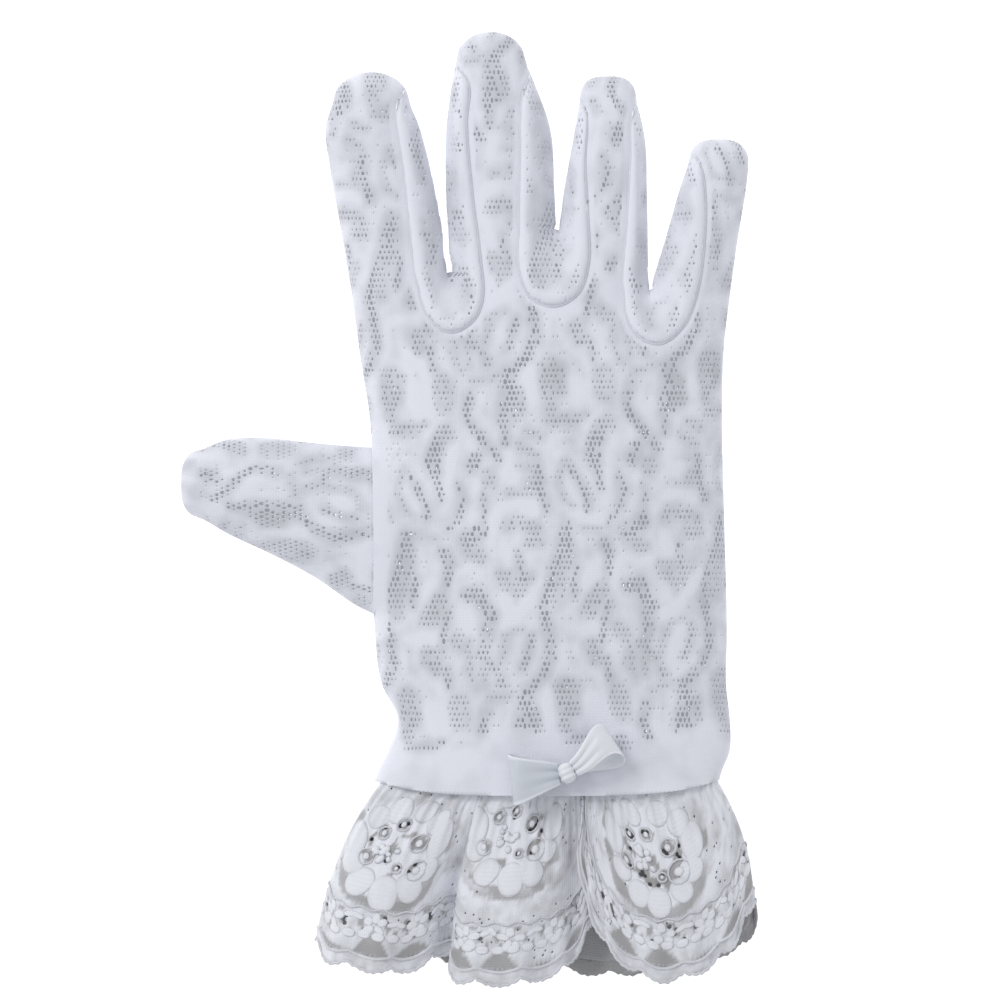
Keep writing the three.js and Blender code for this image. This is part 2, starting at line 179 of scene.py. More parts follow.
# A sheet becomes cloth: a second layer under the first one and a wall along every edge.
# The second layer's last mark is inner, where that is given.
def thickened(points, quads, marks, thick, inner=None):
    under = points - normalsOf(points, quads) * thick
    count = len(points)
    edges = np.stack([quads, np.roll(quads, -1, axis=1)], axis=2).reshape(-1, 2)
    name = edges.min(1).astype(np.int64) * count + edges.max(1)
    _, first, uses = np.unique(name, return_index=True, return_counts=True)
    rim = edges[first[uses == 1]]
    wall = np.stack([rim[:, 1], rim[:, 0], rim[:, 0] + count, rim[:, 1] + count], axis=1)
    lower = marks.copy()
    if inner:
        lower[:, 2] = inner
    return (np.concatenate([points, under]), np.concatenate([quads, quads[:, ::-1] + count, wall]),
            np.concatenate([marks, lower]))


# Drops the points that no face uses.
def onlyUsed(points, quads, marks):
    used, renumbered = np.unique(quads, return_inverse=True)
    return points[used], renumbered.reshape(quads.shape), marks[used]


# Several (points, quads, marks) as one.
def joined(parts):
    points, quads, marks = zip(*parts)
    starts = np.cumsum([0] + [len(some) for some in points])
    moved = [some + start for some, start in zip(quads, starts)]
    return np.concatenate(points), np.concatenate(moved), np.concatenate(marks)


# Puts a piece into the scene, in place of a node. Each part goes with the name of its finish.
# Its marks are the cloth's own place, in millimetres, and how densely it is worked there.
def makePiece(name, slot, node, *parts):
    points, quads, marks = joined([part for part, _ in parts])
    mesh = bpy.data.meshes.new(name)
    mesh.vertices.add(len(points))
    mesh.vertices.foreach_set("co", (points * mm).astype(np.float32).ravel())
    mesh.loops.add(quads.size)
    mesh.loops.foreach_set("vertex_index", quads.astype(np.int32).ravel())
    mesh.polygons.add(len(quads))
    mesh.polygons.foreach_set("loop_start", np.arange(0, quads.size, 4, dtype=np.int32))
    mesh.polygons.foreach_set("use_smooth", np.ones(len(quads), bool))
    used = list(dict.fromkeys(finish for _, finish in parts))
    which = np.concatenate([np.full(len(part[1]), used.index(finish)) for part, finish in parts])
    mesh.polygons.foreach_set("material_index", which.astype(np.int32))
    mesh.attributes.new("cloth", "FLOAT_VECTOR", "POINT").data.foreach_set(
        "vector", marks.astype(np.float32).ravel())
    for finish in used:
        mesh.materials.append(finishes[finish])
    mesh.update()
    piece = bpy.data.objects.new(name, mesh)
    scene.collection.objects.link(piece)
    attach(piece, "root")
    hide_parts(node)
    print(name, len(quads) * 2, "triangles")
    return piece


# A grid of points as quads, and closed round in its second direction where that is asked.
def gridQuads(rows, columns, closed=False):
    i, j = np.indices((rows - 1, columns if closed else columns - 1))
    beside = (j + 1) % columns
    below = (i + 1) * columns
    return rowsOf(i * columns + j, below + j, below + beside, i * columns + beside)


# A round thread along a path: a ring of sides at each point, square to the path, with its
# ends drawn together.
def thread(path, up, radius, sides=6):
    ahead = unit(np.gradient(path, axis=0))
    aside = unit(np.cross(ahead, up))
    above = np.cross(aside, ahead)
    turn = np.linspace(0, 2 * np.pi, sides, endpoint=False)
    size = np.full(len(path), float(radius))
    size[[0, -1]] = threadEnd
    ring = np.cos(turn)[None, :, None] * aside[:, None] + np.sin(turn)[None, :, None] * above[:, None]
    points = path[:, None] + ring * size[:, None, None]
    marks = rowsOf(turn / 2, runAlong(path)[:, None], 1.0)
    return points.reshape(-1, 3), gridQuads(len(path), sides, True)[:, ::-1], marks


# The net that all the lace is worked on: staggered six-cornered cells over a rectangle, as
# large as lace says. Gives the corners, the six corners of each cell and the cells' middles.
def netOver(low, high, lace, coarse=1.0):
    pitch, rowPitch = lace["pitch"] * coarse, lace["rowPitch"] * coarse
    columns, rows = (int(n) for n in np.ceil((np.array(high) - low) / (pitch, rowPitch)))
    perLine = 2 * columns + 3
    line, k = np.indices((rows + 1, perLine))
    lean = np.where((k + line) % 2 == 0, lace["slant"], -lace["slant"])
    corners = rowsOf(low[0] + (k - 1) * pitch / 2, low[1] + line * rowPitch + lean)
    j, i = np.indices((rows, columns))
    first = (j * perLine + 2 * i + j % 2).reshape(-1, 1)
    cells = first + np.array([0, 1, 2, perLine + 2, perLine + 1, perLine])
    return corners, cells, corners[cells].mean(1)


# Cells with a hole become a ring of six faces, the rest two faces. The hole's width and height
# are openX and openY times the cell's, and 0 is none. Gives the points and the faces.
def laceCells(corners, cells, middles, openX, openY):
    holed = (openX > 0) & (openY > 0)
    share = np.stack([openX, openY], axis=1)[holed][:, None]
    middle = middles[holed][:, None]
    inner = middle + (corners[cells[holed]] - middle) * share
    start = len(corners) + 6 * np.arange(holed.sum())[:, None]
    near = cells[holed]
    far = start + np.arange(6)
    rings = np.stack([near, np.roll(near, -1, 1), np.roll(far, -1, 1), far], axis=2).reshape(-1, 4)
    solid = cells[~holed]
    plain = np.concatenate([solid[:, [0, 1, 4, 5]], solid[:, [1, 2, 3, 4]]])
    return np.concatenate([corners, inner.reshape(-1, 2)]), np.concatenate([rings, plain])


# The lace of the hand

# One repeat of the lace, charted: three sorts of openwork and the raised close work. The
# rest is plain close work. Each shape is a line: its reach to its sides, then x and y of its
# points in units of 0.24 mm, rightwards and downwards from the repeat's corner.
handLace = {
    "unit": 0.24,
    "origin": (89, 155),            # the repeat's corner, left of and above the frame's origin
    "across": (160, -10),           # from one repeat to the next one beside it
    "down": (16, 318),              # and to the one below it
    "pitch": 1.05,                  # from hole to hole
    "rowPitch": 1.35,               # from one row of holes to the next, which is staggered
    "slant": 0.22,
    "thick": 0.45,
    "relief": 0.16,                 # how far close work stands above net
    "holes": {"bold": (0.66, 0.72), "mid": (0.43, 0.51), "fine": (0.32, 0.40), "stray": (0.3, 0.4)},
    "uneven": (0.5, 1.2),           # the holes' own sizes, as shares of these
    "missed": 0.13,                 # share of the openwork's cells without a hole
    "strays": 0.17,                 # share of the close work's cells with a pinhole
    "palm": (23, 11),               # where the palm's lace starts, which is the back's turned over
    "thumb": {True: (12, -4), False: (40, 9)},      # and the thumb's, above and below
}
laceChart = {
    "bold": [
        (8, 129, 26, 130, 66), (5, 124, 55, 123, 75), (5, 130, 24, 147, 8, 152, -6),
        (4.5, 90, 46, 87, 60, 88, 72, 96, 84, 108, 96, 119, 109), (6.5, 96, 106, 93, 118),
        (4, 56, 122, 60, 142, 62, 150), (8, 55, 100, 52, 108, 56, 122),
        (3.5, 30, 128, 38, 140, 46, 155, 48, 172), (3.5, 78, 135, 84, 150, 79, 170, 68, 180),
        (4.5, -2, 128, 0, 150, 6, 168), (6, 28, 186, 22, 210), (4.5, 20, 215, 10, 240, 3, 268),
        (5, 5, 272, 10, 300, 12, 318), (4, 36, 228, 33, 255), (5, 64, 203, 70, 216, 68, 232),
        (3.5, 68, 262, 64, 282, 62, 300), (8, 102, 180, 88, 190), (2.5, 102, 145, 105, 160, 104, 175),
        (3.5, 138, 204, 142, 228), (7, 88, 246, 98, 242, 106, 256, 112, 266), (3.5, 105, 275, 105, 290),
        (3.5, 152, 286, 150, 300, 144, 316), (3.5, 50, 0, 53, 20), (3, 104, 14, 106, 16),
        (3.5, 125, 80, 125, 95),
    ],
    "mid": [
        (13, 12, 32, 12, 48), (6, 8, 60, 10, 70), (8, 138, 44, 139, 60), (6, 12, 82, 34, 80),
        (4, 34, 82, 46, 74), (9, 60, 250, 50, 270), (8, 62, 84, 56, 100), (8, 52, 306, 56, 318),
        (7, 128, 176, 140, 172, 155, 180), (5, 148, 192, 160, 192), (6, 108, 284, 104, 306),
        (3, 142, 96, 156, 106), (4, 148, 82, 160, 88), (6, 150, 138, 156, 132), (2.5, 88, 300, 92, 318),
        (8, 26, 198, 28, 222), (5, 100, 304, 112, 316), (4, 100, 0, 108, 16),
    ],
    "fine": [
        (11, 62, 36, 64, 52), (6, 66, 80, 72, 88), (7, 109, 124, 109, 131),
        (2.5, 25, 120, 20, 140, 25, 158, 34, 166), (3, 130, 144, 155, 146), (2, 35, 186, 58, 188),
        (8, 23, 228, 16, 262), (8, 92, 200, 100, 208), (9, 125, 232, 140, 240), (6, 120, 226, 150, 228),
        (4, 136, 244, 136, 252), (8, 78, 290, 84, 294), (3, 126, 288, 124, 304, 118, 318),
        (2.5, 130, 283, 142, 280), (3, 72, 0, 80, 20), (3, 88, 0, 90, 15), (3, 95, 32, 118, 25),
        (2, 137, 118, 155, 118),
    ],
    "raised": [
        (11, 37, 44, 40, 58), (7, 28, 6, 44, 18, 50, 34, 50, 62),
        (6, 42, 105, 48, 85, 62, 72, 80, 72, 90, 85, 92, 98), (7, 76, 85, 73, 110, 68, 135, 64, 162),
        (6, 96, 135, 98, 152), (7, 26, 142, 36, 160), (6, 98, 66, 115, 84), (11, 128, 108, 134, 124),
        (6, 150, 20, 152, 56), (6, 112, 194, 113, 172, 122, 158, 138, 152, 154, 156),
        (7, 122, 192, 128, 212), (8, 57, 218, 48, 245),
        (6, 74, 248, 74, 225, 92, 216, 108, 218, 122, 240, 128, 254), (10, 84, 254, 88, 272),
        (7, 160, 232, 140, 262, 124, 274), (8, 28, 288, 56, 288), (6, 140, 288, 136, 304),
        (5, 20, 168, 58, 180, 80, 174),
    ],
}


# Distance to a line of points, or to its neighbours in the repeats around.
def distanceToLine(p, points):
    across, down = np.array(handLace["across"]), np.array(handLace["down"])
    best = np.full(len(p), 1e9)
    ends = np.reshape(points, (-1, 2)).astype(float)
    for i in (-1, 0, 1):
        for j in (-1, 0, 1):
            for a, b in zip(ends[:-1], ends[1:]):
                along = b - a
                off = p - a - i * across - j * down
                t = np.clip(off @ along / (along @ along), 0, 1)
                best = np.minimum(best, ((off - t[:, None] * along) ** 2).sum(1))
    return np.sqrt(best)


# The repeat as a grid: how deep each place lies in each kind of work, below 0 outside it.
def chartRepeat():
    steps = (80, 160)
    i, j = np.indices(steps)
    p = (i[..., None] / steps[0] * handLace["across"] + j[..., None] / steps[1] * handLace["down"])
    p = p.reshape(-1, 2)
    kinds = [np.max([shape[0] - distanceToLine(p, shape[1:]) for shape in shapes], axis=0)
             for shapes in laceChart.values()]
    return np.stack(kinds, axis=1).reshape(*steps, len(kinds))


repeat = chartRepeat()
print("lace charted")


# The lace at places of the cloth: depth in bold, mid and fine openwork and in raised work.
def laceAt(p):
    place = p / handLace["unit"] * (1, -1) + handLace["origin"]
    ways = np.array([handLace["across"], handLace["down"]]).T
    share = place @ np.linalg.inv(ways).T
    return between(repeat, 0, 1, share * repeat.shape[:2], wrap=True).T


# How close-worked the cloth is: about 0.4 in openwork, 0.9 in plain close work, a little
# more a few millimetres off the openwork, and up to 1.4 in the middle of raised work.
def workedAt(p):
    bold, mid, fine, raised = laceAt(p)
    sheer = np.maximum(0.55 * eased(-6, 5, np.maximum(bold, mid)), 0.45 * eased(-6, 5, fine))
    nearest = np.max([bold, mid, fine], axis=0)
    rim = eased(-15, -9, nearest) * eased(-2, -7, nearest)
    return (1 - sheer) * (0.88 + np.maximum(0.26 * rim, 0.55 * eased(-5, 7, raised)))


# How wide each cell's hole is, as shares of its width and height.
def holesAt(p, plain, more):
    bold, mid, fine, raised = laceAt(p)
    uneven = random.uniform(*handLace["uneven"], (2, len(p)))
    uneven *= 0.55 + 0.45 * eased(0, 3, np.max([bold, mid, fine], axis=0))
    uneven *= random.random(len(p)) > handLace["missed"]
    stray = (random.random(len(p)) < handLace["strays"]) & (raised < 0)
    sorts = [sort & (plain < 0.5) for sort in (bold > 0, mid > 0, fine > 0, stray)]
    openX, openY = (np.select(sorts, list(sizes), 0) for sizes in zip(*handLace["holes"].values()))
    return openX * uneven[0] * more, openY * uneven[1] * more


# Outlines of the hand, seen from above

# Rows are (y, left, right). The fingers end in rounded tips; square below 1 is blunter.
fingers = {
    "index": {"tip": 104.1, "square": 1.0, "rows": [
        (66, -30.8, -6.4), (80, -33.3, -9.1), (91, -34.5, -12), (97, -32.6, -14.4)]},
    "middle": {"tip": 113.8, "square": 1.0, "rows": [
        (76, -5.6, 20.5), (90, -5.5, 19.6), (101, -4.2, 15.9), (107, -3, 13.4)]},
    "ring": {"tip": 103.1, "square": 0.6, "rows": [
        (74, 22.6, 42.8), (88, 25, 42.3), (97.6, 26.6, 40.2)]},
    "little": {"tip": 88.0, "square": 0.72, "rows": [
        (64, 47.2, 64.6), (76, 50.6, 66.6), (82.6, 52.8, 67.2)]},
}
handSides = {
    "left": [(-22.4, -95), (-22.4, -66), (-19.4, -59), (-17, -51.5), (-21, -43), (-22.7, -30),
             (-22.9, -5), (-23.8, 20), (-26.4, 37), (-28.2, 50.5)],
    "right": [(62.8, 51), (61.2, 37), (60.8, 20), (61.4, -5), (62, -30), (61.8, -43),
              (62.7, -51.5), (62.7, -59), (60.2, -66), (60.2, -95)],
    "forks": [[(-6.1, 61), (-4.6, 54.6), (-4.8, 61)], [(20.9, 68.5), (21.3, 65.2), (21.9, 68.5)],
              [(43.2, 54.5), (43.6, 51), (44.2, 54)]],
}
# The thumb's rows are (x, low, high), and its tip and base are places along x.
thumb = {"tip": -69.3, "square": 0.7, "base": -20.4, "full": 0.86, "rows": [
    (5, -33, 12), (-19, -27.6, 13.6), (-27, -24.2, 14.1), (-37, -17.4, 14.9), (-48, -11.6, 16.1),
    (-58, -6.9, 15.8), (-65, -2.9, 13.1)]}
# The hem sags below its sides, and the cloth turns plain from plainFrom down to plainAt.
hem = {"side": -66.0, "sag": 3.6, "plainFrom": -54.0, "plainAt": -59.0, "left": -22.4, "right": 60.2}


# Points round the tip past the last row: reach x sin a along, half x cos(a)^square across.
def tipPoints(last, tip, square):
    angle = np.radians(np.linspace(-78, 78, 11))
    middle, half = (last[1] + last[2]) / 2, (last[2] - last[1]) / 2
    across = middle + half * np.sign(angle) * np.abs(np.sin(angle)) ** square
    along = last[0] + (tip - last[0]) * np.cos(angle)
    return np.stack([across, along], axis=1)


# Up one side of a finger, round its tip and down the other side.
def fingerPoints(finger):
    rows = finger["rows"]
    left = [(row[1], row[0]) for row in rows]
    right = [(row[2], row[0]) for row in reversed(rows)]
    return left + tipPoints(rows[-1], finger["tip"], finger["square"]).tolist() + right


# The hand's outline, from the hem up the thumb's side, round the fingers and down again.
def handOutline():
    points = list(handSides["left"])
    for finger, fork in zip(fingers.values(), handSides["forks"] + [[]]):
        points += fingerPoints(finger) + fork
    return smoothLine(points + handSides["right"], outlineStep, closed=True)


outline = handOutline()
thumbLine = smoothLine(np.array(fingerPoints(thumb))[:, ::-1], outlineStep, closed=True)

# Strips between the fingers. Each seam runs down one finger, round its root on the back of
# the hand and up the next one.
gussets = {
    "fourchette_index_middle": [
        (-14, 101), (-17.2, 96), (-15.7, 81), (-14.2, 67), (-12.6, 54), (-9.2, 44.6), (-4.2, 41.4),
        (1.2, 44.4), (3.3, 50), (2.6, 60), (0.6, 76), (-0.6, 92), (-0.2, 101), (-6, 108)],
    "fourchette_middle_ring": [
        (16, 106), (12.9, 98), (12.4, 84), (12, 66), (12.2, 56), (14.6, 50), (20.4, 47.6),
        (26, 50.6), (28.6, 58), (28.4, 70), (27.8, 82), (28, 94), (25, 100)],
    "fourchette_ring_little": [
        (42.4, 99), (39.4, 94), (38.8, 82), (38, 68), (37, 52), (39.2, 42), (45.4, 38.6),
        (51.4, 43), (54.8, 52), (56.4, 64), (56.6, 74), (55.6, 81), (52, 87)],
}
gussetSeams = {name: smoothLine(points, seamStep) for name, points in gussets.items()}
closedSeams = {name: np.concatenate([line, smoothLine(np.array([line[-1], line[0]]), seamStep)[1:-1]])
               for name, line in gussetSeams.items()}

# Shape of the cloth as it lies. Height above the side seam follows a hanging chain turned
# over, curl x asinh(s / curl), with s measured in the cloth from the seam.
lie = {
    "seam": 3.6, "curl": 2.6, "underCurl": 1.4,
    "straight": (7.5, 3.5),         # how far in from the outline the curl ends, and where it starts to
    "rest": 0.25, "under": 3.2,     # the underside's height and curve
    "fullness": [(-70, 0.874), (-59, 0.84), (-51, 0.845), (-43, 0.896), (-30, 0.97), (-5, 1.03),
                 (20, 1.0), (37, 0.93), (50, 0.916), (115, 0.89)],
    "ripple": 0.42,
    "puff": 1.2, "puffWide": 2.6, "puffFlat": 2.4, "puffFade": 7,      # the gussets beside their seams
    "valley": 0.22, "valleyWide": 1.7,                                 # and the panel there
    "overThumb": 0.75,              # how far the back lies above the thumb's root
}
thumbSpan = {"low": -29.0, "high": 15.5}        # where the thumb is sewn on, along y


# The hem's lower edge, sag x (1 - across^4) below its sides.
def hemAt(x):
    across = np.clip((x - hem["left"]) / (hem["right"] - hem["left"]) * 2 - 1, -1, 1)
    return hem["side"] - hem["sag"] * (1 - across ** 4)


# How far the cloth may curl over at each point of the outline: half the gap to the next
# finger, and next to nothing where the thumb is sewn on.
def curlAlong(line, curl):
    gap = line[None] - line[:, None]
    far = lengths(gap)
    ahead = np.roll(line, -1, axis=0) - np.roll(line, 1, axis=0)
    outward = unit(np.stack([-ahead[:, 1], ahead[:, 0]], axis=1))
    facing = (gap * outward[:, None]).sum(2) > 0.8 * far
    room = np.where(facing & (far > 0.05), far, 1e3).min(1) / 2
    sewn = eased(-19, -21.5, line[:, 0])
    sewn *= eased(thumbSpan["low"] - 2.5, thumbSpan["low"], line[:, 1])
    sewn *= eased(thumbSpan["high"] + 2.5, thumbSpan["high"], line[:, 1])
    return np.clip(room, 0.3, curl) * (1 - sewn) + 0.3 * sewn


# A grid smoothed by a bell curve, sigma steps wide.
def blurred(grid, sigma):
    reach = np.arange(-3 * sigma, 3 * sigma + 1)
    weight = np.exp(-0.5 * (reach / sigma) ** 2)
    for axis in (0, 1):
        total = sum(w * np.roll(grid, r, axis=axis) for w, r in zip(weight, reach))
        grid = total / weight.sum()
    return grid


# Depth inside an outline on a 1 mm grid, blurred so that no ridge runs down a finger.
def softDepthOf(line):
    low = np.floor(line.min(0)) - 8
    size = (np.ceil(line.max(0)) + 8 - low).astype(int)
    p = rowsOf(*np.indices(size)) + low
    return blurred(depthIn(line, p)[0].reshape(size), 3), low


handDepth = softDepthOf(outline)
thumbDepth = softDepthOf(thumbLine)
handCurl = curlAlong(outline, lie["curl"])
handUnderCurl = curlAlong(outline, lie["underCurl"])
print("outline of", len(outline), "points")


# Height above the seam of cloth that lies depth inside its outline.
def riseAt(p, depth, soft):
    curl = lie["curl"]
    near = eased(1.5, 6, depth)
    depth = np.maximum(depth, 0) * (1 - near) + between(soft[0], soft[1], 1, p) * near
    return curl * np.arcsinh(np.sqrt(np.maximum((depth + curl) ** 2 - curl ** 2, 0)) / curl)


# Upper side of the thumb, which lies flatter than the hand.
def thumbTop(p, depth):
    return lie["seam"] + thumb["full"] * riseAt(p, depth, thumbDepth)


# Slow unevenness of cloth that has been laid down by hand.
def rippleAt(p):
    x, y = p[:, 0], p[:, 1]
    return (np.sin(x / 6.1 + y / 23 + 1.0) + np.sin(x / 9.7 - y / 15.3 + 4.1)
            + 0.7 * np.sin(x / 21 + y / 8.7 + 2.2)) / 2.7


# The back's height: full where the hand is, rippled, and raised over the thumb's root.
def backHeight(p, depth):
    full = np.interp(p[:, 1], *zip(*lie["fullness"]))
    z = lie["seam"] + full * riseAt(p, depth, handDepth)
    z += lie["ripple"] * rippleAt(p) * eased(1, 7, depth)
    over = eased(-12, -19, p[:, 0]) * eased(-34, -27, p[:, 1]) * eased(20, 13, p[:, 1])
    some = over > 0
    root = thumbTop(p[some], depthIn(thumbLine, p[some])[0])
    raised = softMax(z[some], root + lie["overThumb"], 0.8)
    z[some] = z[some] * (1 - over[some]) + raised * over[some]
    return z


# The underside sinks from the seam to rest on the floor, as tanh(s / under).
def palmHeight(s):
    return lie["seam"] - (lie["seam"] - lie["rest"]) * np.tanh(s / lie["under"])


# Moves points of the flat cloth to where they lie, seen from above: near the outline the
# cloth curls over, sqrt(s^2 + curl^2) - curl in from it. Far from it they stay.
def curledIn(p, line, curls):
    depth, way, nearest = depthIn(line, p)
    curl = curls[nearest]
    s = np.maximum(depth + curl, 0)
    inwards = np.sqrt(s * s + curl * curl) - curl
    inwards = depth + (inwards - depth) * eased(*lie["straight"], depth)
    return p + (inwards - depth)[:, None] * way, inwards, s, depth + curl, nearest


# What makes a face bad: smaller than sliver, a side over longest, or reaching across a gap, with
# corners nearest to parts of the outline that lie apart along it, but not apart in the plan.
faults = {"sliver": 0.008, "longest": 6.0, "apart": 3.4, "near": 12, "deep": 2.0}


# Which faces are good.
def faithful(points, quads, inside, nearest, line):
    number = nearest[quads]
    sides, jumps, turns = (values - np.roll(values, -1, axis=1)
                           for values in (points[quads], line[number], number))
    turns = np.abs(turns)
    apart = np.minimum(turns, len(line) - turns).max(1) * outlineStep
    crossing = ((apart > faults["apart"]) & (lengths(jumps).max(1) < faults["near"])
                & (inside[quads].min(1) < faults["deep"]))
    area = lengths(faceVectors(points, quads)) / 2
    return (area > faults["sliver"]) & (lengths(sides).max(1) < faults["longest"]) & ~crossing


# A layer as cloth: its good faces, turned down on the underside, with the cloth's thickness.
def asCloth(plan, z, marks, quads, keep, place, upper):
    points = np.column_stack([plan, z])
    keep = keep & faithful(points, quads, *place)
    quads = quads[keep] if upper else quads[keep][:, ::-1]
    return thickened(*onlyUsed(points, quads, marks), handLace["thick"], inner=innerMark)


# Pushes points out of a closed line, or into it, to a small gap from it.
def heldBy(p, line, gap, into):
    depth, way, _ = depthIn(line, p)
    wrong = depth < gap if into else depth > -gap
    move = (gap - depth) if into else -(gap + depth)
    moved = p + np.where(wrong, move, 0)[:, None] * way
    return moved, np.where(into, depth, -depth)


# Distance to the nearest gusset's seam.
def seamGapAt(p):
    return np.min([np.abs(depthIn(line, p)[0]) for line in closedSeams.values()], axis=0)


# Where the cloth is worked plain: at the turned hem, beside the seams and along the thumb.
def plainAt(p, seamDepth):
    atHem = eased(hem["plainFrom"], hem["plainAt"], p[:, 1] - 3 * np.sin(p[:, 0] / 7.0))
    atSeam = eased(1.9, 1.3, seamDepth)
    return np.maximum(atHem, atSeam)


# Extra height at a gap from a gusset's seam. The gusset swells up from it in a quarter round
# and sinks back slowly, and the panel falls into it: -valley x exp(-(gap / valleyWide)^2).
def besideSeam(gap, inGusset):
    valley = -lie["valley"] * np.exp(-(gap / lie["valleyWide"]) ** 2)
    if not inGusset:
        return valley
    share = np.clip(gap / lie["puffWide"], 0, 1)
    swell = np.sqrt(np.maximum(1 - (1 - share) ** 2, 0))
    fade = np.exp(-np.maximum(gap - lie["puffFlat"], 0) / lie["puffFade"])
    return (lie["puff"] + lie["valley"]) * swell * fade - lie["valley"]


# How densely plain parts are worked, how far the cloth keeps from a seam, how much smaller the
# holes are in places, and how much coarser the underside's net is.
handWork = {"plain": 1.3, "atThumb": 1.55, "gap": 0.05, "fingers": 0.94, "gusset": 0.8, "under": 0.5,
            "coarse": 1.3}


# One layer of the hand: the panel with the gussets cut out, or one of the gussets.
def handLayer(upper, gusset=None):
    if gusset:
        low, high = gussetSeams[gusset].min(0) - 3, gussetSeams[gusset].max(0) + 3
    else:
        low, high = outline.min(0) - 4, outline.max(0) + 4
        low[1] = hem["side"] - hem["sag"] - 1.5
    corners, cells, middles = netOver(low, high, handLace, 1.0 if upper else handWork["coarse"])
    side = depthIn(outline, middles)[0]
    near = side > -lie["curl"] - 1.5
    cells, middles, side = cells[near], middles[near], side[near]

    toLace = lambda p: p if upper else p * (-1, 1) + handLace["palm"]
    sewn = ((side < 3.3) & (middles[:, 0] < -15) & (middles[:, 1] > thumbSpan["low"])
            & (middles[:, 1] < thumbSpan["high"]))
    plain = np.maximum(plainAt(middles, seamGapAt(middles)), sewn)
    more = handWork["gusset"] if gusset else np.where(middles[:, 1] > 50, handWork["fingers"], 1.0)
    more = more if upper else handWork["under"]
    flat, quads = laceCells(corners, cells, middles, *holesAt(toLace(middles), plain, more))

    plan, inwards, s, inside, nearest = curledIn(flat, outline, handCurl if upper else handUnderCurl)
    keep = inside[quads].max(1) > 0
    for name, line in closedSeams.items():
        if gusset in (None, name):
            plan, within = heldBy(plan, line, handWork["gap"], into=bool(gusset))
            keep &= within[quads].max(1) > 0
    if gusset:
        keep &= depthIn(outline, plan)[0][quads].min(1) > -0.15
    edge = hemAt(plan[:, 0])
    keep &= (plan[:, 1] - edge)[quads].max(1) > 0
    plan[:, 1] = np.maximum(plan[:, 1], edge)

    seamGap = seamGapAt(plan)
    flatness = plainAt(flat, seamGap)
    dense = workedAt(toLace(flat)) * (1 - flatness) + handWork["plain"] * flatness
    if gusset:
        dense = 0.3 + 0.6 * dense + 0.6 * eased(4, 1.5, seamGap)
    atThumb = (eased(-18.6, -20.5, flat[:, 0]) * eased(thumbSpan["low"] - 4, thumbSpan["low"], flat[:, 1])
               * eased(thumbSpan["high"] + 6, thumbSpan["high"], flat[:, 1]))
    dense = dense * (1 - atThumb) + handWork["atThumb"] * atThumb
    z = backHeight(plan, inwards) if upper else palmHeight(s)
    if upper:
        z += handLace["relief"] * (dense - 1) * eased(0, 2, inwards)
        z += besideSeam(seamGap, bool(gusset)) * eased(0.5, 3, inwards)
    return asCloth(plan, z, np.column_stack([flat, dense]), quads, keep, (inside, nearest, outline), upper)


# The rolled seam round a gusset, at the bottom of the valley beside it.
def seamRoll(line, radius):
    depth = depthIn(outline, line)[0]
    seen = depth > 0.6
    z = backHeight(line[seen], depth[seen]) - lie["valley"] + 0.05
    return thread(np.column_stack([line[seen], z]), skyward, radius, 8)


# Thumb: the same lace turned a quarter, one layer above and one below.
def thumbLayer(upper):
    low, high = thumbLine.min(0) - 4, thumbLine.max(0) + 4
    high[0] = thumb["base"] + 1
    turned = lambda p: np.stack([-p[:, 1], p[:, 0]], axis=1)
    corners, cells, middles = netOver(low[::-1], high[::-1], handLace)
    corners, cells, middles = corners[:, ::-1], cells[:, ::-1], middles[:, ::-1]
    curl = lie["curl"] if upper else lie["underCurl"]
    near = depthIn(thumbLine, middles)[0] > -curl - 1.5
    cells, middles = cells[near], middles[near]
    plain = eased(-64.5, -66, middles[:, 0])
    shift = handLace["thumb"][upper]
    more = 0.95 if upper else handWork["under"]
    flat, quads = laceCells(corners, cells, middles, *holesAt(turned(middles) + shift, plain, more))
    plan, inwards, s, inside, nearest = curledIn(flat, thumbLine, np.full(len(thumbLine), curl))
    beyond = thumb["base"] - plan[:, 0]
    keep = (inside[quads].max(1) > 0) & (beyond[quads].max(1) > 0)
    plan[:, 0] = np.minimum(plan[:, 0], thumb["base"])
    dense = workedAt(turned(flat) + shift)
    z = thumbTop(plan, inwards) if upper else palmHeight(s)
    if upper:
        creased = eased(-50, -66, plan[:, 0]) * eased(0.5, 4, inwards)
        z += creased * 0.35 * np.sin(plan[:, 0] / 1.5 + np.sin(plan[:, 1] / 3.0) * 1.3)
        z += handLace["relief"] * (dense - 1) * eased(0, 2, inwards)
    marks = np.column_stack([turned(flat), dense])
    return asCloth(plan, z, marks, quads, keep, (inside, nearest, thumbLine), upper)


